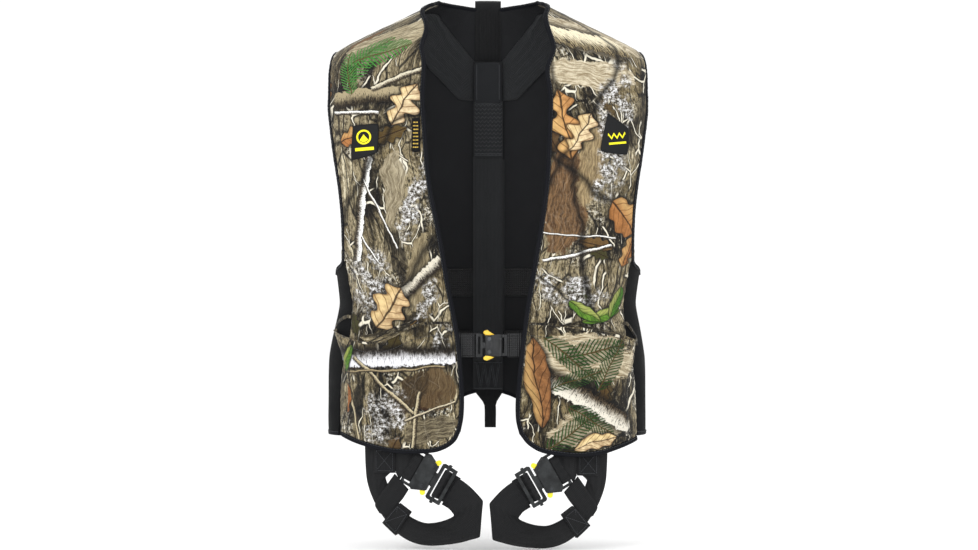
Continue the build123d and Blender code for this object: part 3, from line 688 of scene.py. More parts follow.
WEB_BACK_UPPER = [(20, -85), (36, -67), (52, -49), (68, -31), (82, -16)]
WEB_BACK_LOWER = [(20, -143), (44, -141.5), (54, -133), (72, -114), (90, -97), (110, -80), (150, -52)]
WEB_FRONT_INNER = [(105, -45), (106, -160), (96, -300), (88, -420), (86, -540), (84, -648)]
WEB_FRONT_OUTER = [(160, -75), (160, -160), (148, -300), (138, -420), (133, -540), (131, -648)]


def line_turn(x, z, back=False):
    """The turn of one front-view place."""
    return float(turn_at_x(float(x), float(z), back))


def back_turn(x, z):
    """The turn of a place on the back, counted through pi."""
    t = line_turn(x, z, back=True)
    return t if t >= 0 else t + 2 * math.pi


BELT_Z = -510.0
BELT_START = {-1: 16, 1: 29}     # where each half leaves the buckle, from the middle
ELASTIC_Z = -419.0

for side, word in SIDES:
    edge_runs = []
    for back_run, seam_z, front_run in (
            (WEB_BACK_UPPER, -21, WEB_FRONT_INNER), (WEB_BACK_LOWER, -47, WEB_FRONT_OUTER)):
        run = [(side_turn(side, line_turn(side * x, z, back=True)), z) for x, z in back_run]
        seam_turn = float(turn_at_y(SEAM_Y, float(seam_z), side))
        run.append((side_turn(side, seam_turn), seam_z))
        run += [(side_turn(side, line_turn(side * x, z)), z) for x, z in front_run]
        edge_runs.append(run)
    strap = sheet_between(f"shoulder_web_{word}", *edge_runs, 2.0, -5.6, 190, ridge=0.6, seed=side)
    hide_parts(f"shoulder_strap_{word}")
    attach(strap, "vest")
    turns = [line_turn(side * x, BELT_Z) for x in (BELT_START[side], 60, 110, 160, 205)]
    turns += [side * t for t in (1.57, 2.0, 2.4, 2.8, 3.12)]
    belt = strap_on_body(f"belt_web_{word}", turns, BELT_Z, 35.0, 1.9, -6.6, 150, seed=side * 5)
    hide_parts(f"belt_strap_{word}")
    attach(belt, "vest")

turns = [back_turn(x, ELASTIC_Z) for x in (200, 120, 40, -40, -120, -200)]
band = strap_on_body("back_elastic", turns, ELASTIC_Z, 43.0, 1.4, -4.6, 110, ridge=0.3)
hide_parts("waist_band_back")
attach(band, "vest")


X_AXIS = np.array((1.0, 0.0, 0.0))


def back_line(z, inset):
    """A point on the back's centre line, an inset (mm) inside the body form."""
    return body_point(math.pi, float(z), -inset)


def centre_ribbon(name, node, top, bottom, inset, width, thick, x0=0.0, ridge=0.3, count=90, seed=0.0):
    """Webbing straight down the middle of the back."""
    levels = np.linspace(top, bottom, count)
    pts = np.array([back_line(z, inset) for z in levels]) + (x0, 0, 0)
    out = np.cross(X_AXIS, headings(pts))
    out *= np.sign(-out[:, 1:2])
    obj = ribbon(name, pts, np.tile(X_AXIS, (count, 1)), width, thick, out, ridge=ridge, seed=seed)
    if node:
        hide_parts(node)
    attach(obj, "vest")


centre_ribbon("centre_web", "centre_back_strap", -228, -582, 8.6, 46.0, 2.0, ridge=0.5)
centre_ribbon("centre_web_under_ply", None, -232, -500, 6.6, 46.5, 1.4, x0=1.8, ridge=0.5, seed=2)
centre_ribbon("tear_web", "tear_webbing", -144, -229, 9.6, 45.0, 3.8, x0=0.5, ridge=0.25, seed=4)
centre_ribbon("back_sleeve", "dorsal_sleeve", -85, -146, 10.2, 42.5, 4.6, ridge=0.35, seed=6)

# Riser over the back neckline, and the tether that hangs outside the back
RISER = [(94, -86), (84, -52), (72, -22), (64.5, -6), (64.5, 2.5), (69, 5.2)]
TETHER = [(70.8, 3.4), (82, -17), (97, -58), (108.5, -108), (115, -165), (118.5, -228),
          (119.5, -290), (120, -352)]
TETHER_WEB = 39.0


def upright_ribbon(name, pts, width, thick, ridge, seed=0.0):
    """Webbing across the centre line along points (mm), its width along X."""
    out = np.cross(headings(pts), X_AXIS)
    return ribbon(name, pts, np.tile(X_AXIS, (len(pts), 1)), width, thick, out, ridge=ridge, seed=seed)


riser = upright_ribbon("riser_web", smooth_curve([(0.0, y, z) for y, z in RISER], 60), TETHER_WEB, 2.0, 0.3)
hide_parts("tether_riser")
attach(riser, "vest")


def nurbs_points(route_m):
    """Points along the smooth NURBS curve whose control points are the route (metres)."""
    curve = bpy.data.curves.new("route_curve", "CURVE")
    curve.dimensions = "3D"
    spline = curve.splines.new("NURBS")
    spline.points.add(len(route_m) - 1)
    for point, place in zip(spline.points, route_m):
        point.co = (*place, 1)
    spline.order_u = 3
    spline.use_endpoint_u = True
    spline.resolution_u = 16
    holder = bpy.data.objects.new("route_holder", curve)
    bpy.context.scene.collection.objects.link(holder)
    mesh = bpy.data.meshes.new_from_object(holder)
    points = np.array([v.co[:] for v in mesh.vertices])
    bpy.data.objects.remove(holder)
    bpy.data.curves.remove(curve)
    bpy.data.meshes.remove(mesh)
    return points


tether_path = nurbs_points([(0.0, y * MM, z * MM) for y, z in TETHER])
tether = upright_ribbon("tether_web", resample(tether_path / MM, 110), TETHER_WEB, 2.4, 0.25, 8)
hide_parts("tether_strap")
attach(tether, "tether")

# The eye sewn at the tether's end, folded narrower round the carabiner
eye_turns = np.linspace(math.radians(70), math.radians(-250), 40)
eye_pts = [(0.0, 120 + 7.0 * math.cos(t), -362 + 7.0 * math.sin(t)) for t in eye_turns]
eye_run = smooth_curve([(0, 122.6, -318), (0, 122.6, -340), (0, 122.0, -352)] + eye_pts[2:-2]
                       + [(0, 118.0, -352), (0, 117.4, -340), (0, 117.4, -318)], 90)
eye_width = TETHER_WEB - 15 * np.exp(-((eye_run[:, 2] + 366) / 16.0) ** 2)
eye = upright_ribbon("tether_eye", eye_run, eye_width, 1.9, 0.1, 9)
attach(eye, "tether")


def box_cross(corners, normal, pitch=2.4):
    """Box and X stitching between four corners (mm), lifted along a normal."""
    c = np.array(corners, dtype=float)
    runs = []
    for start, end in ((0, 1), (1, 2), (2, 3), (3, 0), (0, 2), (1, 3)):
        a, b = c[start], c[end]
        steps = max(2, int(np.linalg.norm(b - a)))
        path = np.linspace(a, b, steps)
        runs += dashes(path, np.tile(normal, (steps, 1)), pitch, 0.9, 0.4)
    return runs


eye_threads = []
for front in (1, -1):
    y = 120 + front * 3.9
    eye_threads += box_cross([(-16, y, -322), (16, y, -322), (16, y, -346), (-16, y, -346)],
                             np.array((0.0, float(front), 0.0)))
eye_stitch = threads("tether_eye_stitches", eye_threads, radius=0.35)
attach(eye_stitch, "tether")

# Stitching on the back straps
TEAR_ROWS = np.linspace(-150, -224, 13)      # heights of the zig-zag rows
SLEEVE_ROWS = np.linspace(-89, -142, 12)
FOOT_TOP, FOOT_END = -541, -580              # the box of tall Vs at the centre strap's foot


def level_row(z, inset, half, shift=0):
    """A straight row of stitching across the back strap."""
    at = back_line(z, inset)
    return np.array([at + (x, 0, shift) for x in half])


back_threads = []
for row in TEAR_ROWS:
    base = back_line(row, 11.9)
    zig = [base + (x, 0, 1.6 * (-1) ** k) for k, x in enumerate(np.linspace(-20, 21, 15))]
    back_threads += [np.array(zig)]
for level_z in (-148, -226):
    for shift in (0, 2.4):
        back_threads.append(level_row(level_z, 12.0, (-20, 0, 21), shift))
for shift in (0, 2.2):
    across = np.linspace(-18, 15.8, 25)
    down = [FOOT_TOP + (FOOT_END - FOOT_TOP) * (1 - abs(1 - (n / 4) % 2)) for n in range(25)]
    back_threads += [np.array([back_line(z, 10.5) + (x + shift, 0, 0) for x, z in zip(across, down)])]
for z in (FOOT_TOP, FOOT_END):
    back_threads.append(level_row(z, 10.3, (-21, 0, 21)))
for x in (-17, 17):
    back_threads += [np.array([back_line(z, 12.8) + (x, 0, 0) for z in SLEEVE_ROWS])]
back_stitches = threads("back_stitches", back_threads, radius=0.5)
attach(back_stitches, "vest")

# Folded loop under the back hem
tail_pts = np.array([(1.5, 103.5, -574), (1.5, 103, -586), (2.5, 101.5, -598), (3.5, 99.8, -612),
                     (3.5, 99.3, -628), (3.5, 99.3, -639.5)], dtype=float)
tail_run = smooth_curve(tail_pts, 60)
tail_width = np.interp(-tail_run[:, 2], [574, 586, 600, 606, 640], [44, 42, 22, 17.5, 17])
tail_x = np.tile(X_AXIS, (60, 1))
tail_out = np.tile((0.0, -1.0, 0.0), (60, 1))
for name, y, seed in (("tail_web_front", -1.3, 12), ("tail_web_rear", 0.9, 14)):
    ply = ribbon(name, tail_run + (0, y, 0), tail_x, tail_width, 1.5, tail_out, ridge=0.3, seed=seed)
    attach(ply, "vest")
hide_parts("tail_loop")

# ---- leg loops
LEG_TURN = math.radians(14.0)
LEG_AT = np.array((-136.0, -99.5, -656.0))
LEG_X = np.array((math.cos(LEG_TURN), -math.sin(LEG_TURN), 0.0))
LEG_OUT = np.array((-math.sin(LEG_TURN), -math.cos(LEG_TURN), 0.0))
LEG_BEND = -60.0
LEG_BEND_R = 180.0


def leg_point(a, b, w, side):
    """A point of the leg plane (towards the middle, up, out) with its curl, in mm."""
    a, b, w = (np.asarray(q, dtype=float) for q in (a, b, w))
    below = np.maximum(0, LEG_BEND - b)
    curl = np.sqrt(np.maximum(LEG_BEND_R ** 2 - below ** 2, 1)) - LEG_BEND_R
    p = (LEG_AT + a[..., None] * LEG_X + (w + curl)[..., None] * LEG_OUT
         + b[..., None] * np.array((0.0, 0.0, 1.0)))
    if side == 1:
        p = p * (-1, 1, 1) + (-5, 0, -4)
    return p


def leg_strip(name, outer, inner, low, thick, side, count=110, arch=0.0, seed=0.0):
    """A strap whose two edges are given in the leg plane; low is its rear face."""
    a = smooth_curve(outer, count)
    b = smooth_curve(inner, count)
    cols = 11
    share = np.linspace(0, 1, cols)
    run = distances((a + b) / 2)
    rings = []
    uvs = []
    for i in range(count):
        width = np.linalg.norm(b[i] - a[i])
        for k, face in flat_ring(cols):
            s = share[k]
            flat = a[i] * (1 - s) + b[i] * s
            round_edge = 0.3 * thick * abs(2 * s - 1) ** 8
            wave = 0.7 * wavy((flat[0], flat[1], 0), 0.03, seed)
            w = (low + arch * math.sin(math.pi * s) + wave
                 + (thick - round_edge if face == 1 else round_edge))
            rings.append(leg_point(flat[0], flat[1], w, side))
            uvs.append(((s - 0.5) * width * MM, run[i] * MM))
    return swept(name, np.reshape(rings, (count, 2 * cols, 3)), uvs)


LOOP_OUT = [(-45, 3), (-44, -29), (-41, -55), (-31, -83), (-16, -109), (0, -129), (20, -142),
            (42, -147), (66, -146), (92, -142), (112, -136.5), (122, -133.5), (124.5, -131),
            (127.5, -115), (131, -92), (132.5, -80), (131, -76.5), (117.5, -62), (105, -52), (95, -46)]
LOOP_IN = [(4, 3), (3, -22), (0, -35), (-13, -40), (-14, -46), (-9, -60), (4, -86), (14, -97), (26, -106),
           (42, -112.5), (56, -112.5), (70, -109.5), (82, -105), (88, -101), (86, -97),
           (82, -92), (76, -88), (70.5, -85)]
HIP_OUT = [(3, 5), (2.5, -20), (2.5, -38), (8, -50)]
HIP_IN = [(46, 5), (45, 0), (42, -4), (36, -7)]
CROSS_OUT = [(1, -41), (-12, -59), (-29, -84), (-24, -99)]
CROSS_IN = [(22, -64), (14, -76), (5, -87), (-8, -106)]
KEEP_OUT = [(7.5, -84), (-6, -98), (-20, -113.5)]
KEEP_IN = [(24.5, -97), (12, -114), (-1.5, -132.5)]

BUCKLE_AT = (53.5, -45.0)
BUCKLE_TILT = math.radians(-30.0)
BUCKLE_RISE = 3.4
# Seen along the webbing's width, in the buckle's plane: (towards the adjuster, out)
REAR_WRAP = [(-47, -0.6), (-41, -0.4), (-36.5, 1.6), (-33.5, 3.0), (-27.5, 2.9), (-22.6, 2.0), (-21.4, 0),
             (-24, -2.6), (-34, -3.2), (-40, -3.2), (-46, -2.9)]
SLIDE_WRAP = [(41, -3.1), (37, -3.2), (31, -3.0), (26, -1.0), (23.5, 2.4), (20, 3.7), (16.9, 2.6),
              (16.2, 0), (17.6, -2.6), (24, -4.6), (32, -5.2), (40, -5.2)]


def buckle_ribbon(name, route, width, thick, side, count=70, seed=0.0):
    """Webbing round one of the buckle's bars, along points of (along the buckle, out of it)."""
    fine = smooth_curve(route, count)
    ca, sa = math.cos(BUCKLE_TILT), math.sin(BUCKLE_TILT)

    def at(x, y, w):
        return leg_point(BUCKLE_AT[0] + x * ca - y * sa, BUCKLE_AT[1] + x * sa + y * ca,
                         w + BUCKLE_RISE, side)
    middle = np.array([at(x, 0.0, w) for x, w in fine])
    across = unit(np.array([at(x, 1.0, w) for x, w in fine]) - middle)
    out = np.cross(headings(middle), across)
    return ribbon(name, middle, across, width, thick, out, ridge=0.1, seed=seed)


# Boxes of stitching on each leg: how far out of the leg plane, and the corners in it
LEG_BOXES = [(3.5, ((-27, -8), (-2, -8), (-2, -37), (-27, -37))),
             (5.9, ((5, -89), (19, -100), (-1, -127), (-15, -112))),
             (3.9, ((9, 1), (40, 1), (32, -9), (9, -34)))]
for side, word in SIDES:
    body = f"{word}_leg_loop"
    loop = leg_strip(f"{word}_leg_web", LOOP_OUT, LOOP_IN, -1.3, 2.5, side, 150, arch=0.8, seed=side)
    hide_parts(f"{word}_leg_loop_strap")
    hip = leg_strip(f"{word}_leg_hip_web", HIP_OUT, HIP_IN, 1.5, 2.0, side, 40, arch=2.4, seed=3)
    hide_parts(f"{word}_leg_hip_strap")
    cross = leg_strip(f"{word}_leg_cross_web", CROSS_OUT, CROSS_IN, 1.6, 2.0, side, 40, 0.5, 5)
    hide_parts(f"{word}_leg_cross_strap")
    keeper_front = leg_strip(f"{word}_leg_keeper_front", KEEP_OUT, KEEP_IN, 3.9, 1.6, side, 40, 0.4, 7)
    keeper_rear = leg_strip(f"{word}_leg_keeper_rear", KEEP_OUT, KEEP_IN, -3.1, 1.6, side, 40, -0.3, 8)
    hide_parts(f"{word}_leg_keeper")
    wrap = buckle_ribbon(f"{word}_leg_rear_wrap", REAR_WRAP, 42.0, 1.5, side, seed=11)
    feed = buckle_ribbon(f"{word}_leg_slide_wrap", SLIDE_WRAP, 43.0, 1.5, side, seed=13)
    for strap in (wrap, feed):
        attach(strap, body)
    tab = leg_strip(f"{word}_leg_sewn_tab", [(-31, 4), (-31, -18), (-31, -41)],
                    [(3.4, 4), (3, -18), (2, -40)], 1.4, 1.8, side, 30, 0.3, 9)
    runs = []
    for rise, corners in LEG_BOXES:
        runs += box_cross([leg_point(a, b, rise, side) for a, b in corners], LEG_OUT * (-side, 1, 1))
    sewing = threads(f"{word}_leg_stitches", runs, radius=0.4)
    for strap in (loop, hip, cross, keeper_front, keeper_rear, tab, sewing):
        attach(strap, body)

# ---- tips of the waist levers
TIP_HEAD = {"upper": (-3.4, -491.4), "lower": (-3.4, -528.6)}     # (x, z) of the round end
TIP_POINT = {"upper": (9.4, -494.6), "lower": (9.4, -527.2)}
TIP_R = 3.3
TIP_LAYERS = [(0.86, -120.3), (1.0, -120.8), (1.0, -121.5), (0.72, -122.1)]     # (scale, y)
STEM_FROM, STEM_TO = -120.5, -117.2     # y
STEM_R = 1.9


def drop_ring(head, point, radius, grow, y, corners=28):
    """A teardrop outline (mm) in a plane facing the front: a round head drawn out to a point."""
    head = np.array(head)
    reach = np.array(point) - head
    far = float(np.linalg.norm(reach))
    ahead = reach / max(far, 1e-9)
    aside = np.array((-ahead[1], ahead[0]))
    ring = []
    for turn in circle(corners):
        along = (far + radius) * (1 + math.cos(turn)) / 2 - radius
        wide = 1.42 * radius * math.sin(turn) * math.sin(turn / 2) ** 1.5
        x, z = head + (ahead * along + aside * wide) * grow
        ring.append((x, y, z))
    return ring


for place in ("upper", "lower"):
    tip = swept(f"waist_lever_tip_{place}", [
        drop_ring(TIP_HEAD[place], TIP_POINT[place], TIP_R, grow, y) for grow, y in TIP_LAYERS])
    x, z = TIP_HEAD[place]
    stem = swept(f"waist_lever_stem_{place}", [
        [(x + STEM_R * math.cos(turn), y, z + STEM_R * math.sin(turn))
         for turn in circle(20)] for y in (STEM_FROM, STEM_TO)])
    for part in (tip, stem):
        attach(part, f"waist_lever_{place}")

# ---- patches and label
def patch_shell(name, node, corners, lift, thick, rings=10):
    """A thin sewn patch with a rounded outline, following the panel."""
    pts = np.asarray(corners, dtype=float)
    centre = pts.mean(axis=0)
    count = 64
    loop = smooth_curve(np.vstack([pts, pts[:1]]), count + 1)[:-1]
    square = resample(np.vstack([pts, pts[:1]]), count + 1)[:-1]
    loop = 0.3 * loop + 0.7 * square
    steps = [(ring / rings, lift + thick * (1 - max(0, (ring / rings - 0.88) / 0.12) ** 2))
             for ring in range(rings + 1)]
    steps.append((1.0, lift - 0.8))
    verts = []
    uvs = []
    for share, rise in steps:
        for x, z in centre + (loop - centre) * share:
            verts.append(body_point(turn_at_x(x, z), z, rise) * MM)
            uvs.append(((x - centre[0]) * MM, (z - centre[1]) * MM))
    faces = grid_faces(rings + 2, count, wrap=True)
    faces.append(tuple(range((rings + 1) * count, (rings + 2) * count)))
    obj = new_object(name, verts, faces, uvs)
    fix_normals(obj, merge=True)
    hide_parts(node)
    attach(obj, "vest")


patch_shell("badge_left", "chest_patch_left",
            [(-196, -190), (-159, -188), (-161, -230), (-198, -240)], 1.8, 1.2)
patch_shell("badge_right", "chest_patch_right",
            [(174, -172), (204, -194), (202, -232), (163, -227)], 1.8, 1.2)
patch_shell("side_label", "woven_label",
            [(-110, -180), (-98.5, -180), (-98.5, -228), (-110, -228)], 1.4, 0.7)


# ---- material tools
class Shade:
    """Small helper round one material's node tree."""

    def __init__(self, name, rough=0.8, sheen=0.0, metal=0.0, specular=0.5, coat=0.0):
        self.mat = bpy.data.materials.new(name)
        self.mat.use_nodes = True
        self.tree = self.mat.node_tree
        self.tree.nodes.clear()
        out = self.tree.nodes.new("ShaderNodeOutputMaterial")
        self.bsdf = self.tree.nodes.new("ShaderNodeBsdfPrincipled")
        self.tree.links.new(self.bsdf.outputs[0], out.inputs[0])
        self.bsdf.inputs["Roughness"].default_value = rough
        self.bsdf.inputs["Metallic"].default_value = metal
        self.bsdf.inputs["Specular IOR Level"].default_value = specular
        self.bsdf.inputs["Sheen Weight"].default_value = sheen
        self.bsdf.inputs["Coat Weight"].default_value = coat

    def put(self, socket, value):
        if isinstance(value, bpy.types.NodeSocket):
            self.tree.links.new(value, socket)
        else:
            socket.default_value = value

    def node(self, kind, inputs=(), **settings):
        made = self.tree.nodes.new("ShaderNode" + kind)
        for key, value in settings.items():
            setattr(made, key, value)
        for key, value in dict(inputs).items():
            self.put(made.inputs[key], value)
        return made

    def math(self, operation, a, b=0.0, c=0.0):
        return self.node("Math", {0: a, 1: b, 2: c}, operation=operation).outputs[0]

    def add(self, a, b):
        return self.math("ADD", a, b)

    def sub(self, a, b):
        return self.math("SUBTRACT", a, b)

    def mul(self, a, b):
        return self.math("MULTIPLY", a, b)

    def mul_add(self, a, b, c):
        return self.math("MULTIPLY_ADD", a, b, c)

    def top(self, a, b):
        return self.math("MAXIMUM", a, b)

    def size(self, a):
        return self.math("ABSOLUTE", a)

    def lens(self, a, power):
        """A hump over a from -1 to 1: (1 - a * a) to a power."""
        return self.math("POWER", self.top(self.sub(1.0, self.mul(a, a)), 0.0), power)

    def over(self, base, mask, strength, tone):
        """The tone laid over a base where the mask is, at a strength."""
        return self.mix(self.mul(mask, strength), base, tone)

    def drift(self, where, scale, amount, detail=2.0):
        """A small random shift in the cloth's plane."""
        swirl = self.node("TexNoise", {"Vector": where, "Scale": scale, "Detail": detail}).outputs[1]
        centred = self.vector("SUBTRACT", swirl, (0.5, 0.5, 0.5))
        return self.vector("MULTIPLY", centred, (amount, amount, 0.0))

    def split(self, where):
        """The three coordinates of a place."""
        return self.node("SeparateXYZ", {0: where}).outputs

    def joined(self, x, y):
        return self.node("CombineXYZ", {0: x, 1: y}).outputs[0]

    def spun(self, where, angle):
        """The three coordinates of a place turned in the cloth's plane."""
        made = self.node("VectorRotate", {"Vector": where, "Angle": angle}, rotation_type="Z_AXIS")
        return self.split(made.outputs[0])

    def sine(self, value):
        return self.math("SINE", value)

    def vector(self, operation, a, b):
        return self.node("VectorMath", {0: a, 1: b}, operation=operation).outputs[0]

    def mix(self, share, a, b):
        return self.node("Mix", {0: share, 6: a, 7: b}, data_type="RGBA").outputs[2]

    def ramp(self, value, stops, linear=True):
        made = self.node("ValToRGB", {0: value})
        made.color_ramp.interpolation = "LINEAR" if linear else "CONSTANT"
        bar = made.color_ramp.elements
        bar[0].position, bar[0].color = stops[0]
        bar[1].position, bar[1].color = stops[-1]
        for place, colour in stops[1:-1]:
            bar.new(place).color = colour
        return made.outputs[0]

    def greys(self, value, low, high):
        """A grey from low to high as value goes from 0.3 to 0.7."""
        return self.ramp(value, [(0.3, (low, low, low, 1)), (0.7, (high, high, high, 1))])

    def smooth(self, value, low, high):
        """0 below low, 1 above high."""
        made = self.node("MapRange", {0: value, 1: low, 2: high}, interpolation_type="SMOOTHSTEP")
        return made.outputs[0]

    def noise(self, where, scale, detail=3.0, rough=0.55):
        made = self.node("TexNoise", {"Vector": where, "Scale": scale, "Detail": detail,
                                      "Roughness": rough})
        return made.outputs[0]

    def cells(self, where, scale, feature="F1", randomness=1.0):
        return self.node("TexVoronoi", {"Vector": where, "Scale": scale, "Randomness": randomness},
                         feature=feature)

    def stretch(self, where, scale, turn=0.0):
        return self.node("Mapping", {"Vector": where, "Scale": scale,
                                     "Rotation": (0.0, 0.0, turn)}).outputs[0]

    def uv(self):
        return self.node("UVMap", uv_map="UVMap").outputs[0]

    def place(self):
        return self.node("TexCoord").outputs["Object"]

    def bump(self, height, distance, strength=1.0):
        made = self.node("Bump", {"Height": height, "Distance": distance, "Strength": strength})
        self.tree.links.new(made.outputs[0], self.bsdf.inputs["Normal"])

    def colour(self, socket):
        self.put(self.bsdf.inputs["Base Color"], socket)

    def roughness(self, socket):
        self.put(self.bsdf.inputs["Roughness"], socket)


def hexa(code, alpha=1.0):
    """sRGB hex to a linear colour."""
    parts = [int(code[k:k + 2], 16) / 255 for k in (0, 2, 4)]
    linear = [p / 12.92 if p <= 0.04045 else ((p + 0.055) / 1.055) ** 2.4 for p in parts]
    return (*linear, alpha)


# ---- woodland print
def front_uv(x, z):
    """Cloth coordinates in metres of a front-view place in millimetres."""
    return print_uv(turn_at_x(float(x), float(z)), float(z))


def local_frame(s, where, x, z, angle, length, width, warp):
    """Coordinates along (-1..1) and across (-1..1) a printed motif."""
    u, v = front_uv(x, z)
    moved = s.vector("SUBTRACT", where, (float(u), float(v), 0.0))
    moved = s.vector("ADD", moved, s.drift(where, 22.0, warp))
    along, across, _ = s.spun(moved, -math.radians(angle))
    return s.math("DIVIDE", along, length * MM), s.math("DIVIDE", across, width * MM)


def leaf(s, base, where, x, z, angle, length, width, tone, dark, lobes=0.0):
    """One printed leaf, with its shadow, midrib and veins, over a base colour."""
    a, b = local_frame(s, where, x, z, angle, length, width, 0.022)
    profile = s.lens(a, 0.7)
    if lobes:
        wave = s.math("COSINE", s.mul(a, 9.5))
        profile = s.mul(profile, s.mul_add(wave, lobes, 1.0 - lobes))
    side = s.size(b)
    inside = s.sub(profile, side)
    mask = s.smooth(inside, 0.0, 0.05)
    shadow = s.smooth(inside, -0.35, 0.05)
    rib = s.smooth(side, 0.075, 0.02)
    lean = s.sub(a, s.mul(side, 0.55))
    vein_at = s.math("FRACT", s.mul(lean, 3.2))
    vein = s.smooth(s.size(s.sub(vein_at, 0.5)), 0.10, 0.02)
    mottle = s.smooth(s.noise(where, 90.0, 4.0, 0.65), 0.36, 0.64)
    body = s.mix(mottle, s.mix(0.55, dark, tone), tone)
    body = s.over(body, s.smooth(b, -0.2, 0.5), 0.35, hexa("ecd9a4"))
    body = s.over(body, s.smooth(inside, 0.22, 0.0), 0.6, dark)
    body = s.over(body, vein, 0.7, dark)
    body = s.over(body, rib, 0.85, hexa("3c2814"))
    base = s.over(base, shadow, 0.8, hexa("120e0b"))
    return s.mix(mask, base, body)


def branch(s, base, where, x, z, angle, length, width, light, dark):
    """A printed birch branch: ragged pale bark with dark flecks across, darker along its sides."""
    a, b = local_frame(s, where, x, z, angle, length, width, 0.012)
    side = s.size(b)
    ragged = s.mul_add(s.noise(where, 130.0, 5.0, 0.7), 1.5, -0.75)
    edge = s.add(side, ragged)
    ends = s.smooth(s.add(s.size(a), s.mul(ragged, 0.15)), 1.0, 0.95)
    mask = s.mul(s.smooth(edge, 1.02, 0.9), ends)
    shadow = s.mul(s.smooth(side, 1.8, 0.9), ends)
    across = s.joined(s.mul(a, length * 0.55), s.mul(b, 1.3))
    dots = s.mul_add(b, -0.07, s.noise(across, 1.0, 5.0, 0.8))
    flecks = s.smooth(dots, 0.52, 0.57)
    bark = s.mix(s.smooth(s.add(b, ragged), 0.4, -0.9), light, dark)
    bark = s.over(bark, flecks, 0.9, hexa("2a231c"))
    base = s.over(base, shadow, 0.75, hexa("140f0c"))
    return s.mix(mask, base, bark)


def sprig(s, base, where, x, z, angle, length, width, light, dark, pitch=8.0):
    """A printed evergreen sprig: a stem with slanting needles on both sides."""
    a, b = local_frame(s, where, x, z, angle, length, width, 0.010)
    side = s.size(b)
    profile = s.lens(a, 0.6)
    ragged = s.mul_add(s.noise(where, 260.0, 2.0), 0.7, 0.62)
    inside = s.smooth(s.sub(s.mul(profile, ragged), side), 0.0, 0.05)
    slant = s.sub(s.mul(a, pitch), s.mul(side, 2.6))
    needle_at = s.size(s.sub(s.math("FRACT", slant), 0.5))
    needles = s.smooth(needle_at, 0.24, 0.12)
    stem = s.smooth(side, 0.08, 0.03)
    cover = s.mul(s.top(needles, stem), inside)
    tone = s.mix(s.noise(where, 150.0, 2.0), dark, light)
    tone = s.mix(stem, tone, hexa("6d5c3a"))
    base = s.over(base, inside, 0.3, hexa("23301c"))
    return s.mix(cover, base, tone)


def ragged_spot(s, where, a, b, scale, depth, limits):
    """A mask over an oval with a ragged rim."""
    rim = s.mul_add(s.noise(where, scale, 5.0, 0.7), 2 * depth, -depth)
    return s.smooth(s.add(s.add(s.mul(a, a), s.mul(b, b)), rim), *limits)


def plank(s, base, where, x, z, angle, length, width, light, dark):
    """A printed patch of smooth grained wood with a ragged edge."""
    a, b = local_frame(s, where, x, z, angle, length, width, 0.03)
    mask = ragged_spot(s, where, a, b, 90.0, 0.7, (1.0, 0.8))
    lines = s.joined(s.mul(a, length * 0.05), s.mul(b, width * 0.35))
    tone = s.mix(s.smooth(s.noise(lines, 1.0, 6.0, 0.7), 0.38, 0.62), dark, light)
    return s.over(base, mask, 0.9, tone)


def lichen(s, base, where, x, z, angle, length, width):
    """A printed patch of white lichen flecks over dark bark."""
    a, b = local_frame(s, where, x, z, angle, length, width, 0.03)
    mask = ragged_spot(s, where, a, b, 60.0, 0.8, (1.2, 0.5))
    broken = s.smooth(s.noise(s.vector("ADD", where, (5.5, 2.2, 0.0)), 42.0, 4.0, 0.6), 0.40, 0.56)
    mask = s.mul(mask, broken)
    fleck = s.noise(where, 190.0, 6.0, 0.8)
    tone = s.ramp(fleck, [(0.40, hexa("1d1a16")), (0.47, hexa("6e675a")), (0.53, hexa("c9c8c6")),
                          (0.60, hexa("f2f3f5"))])
    return s.over(base, mask, 0.92, tone)


KNIT = 5600.0     # radians of the knit's loops per metre


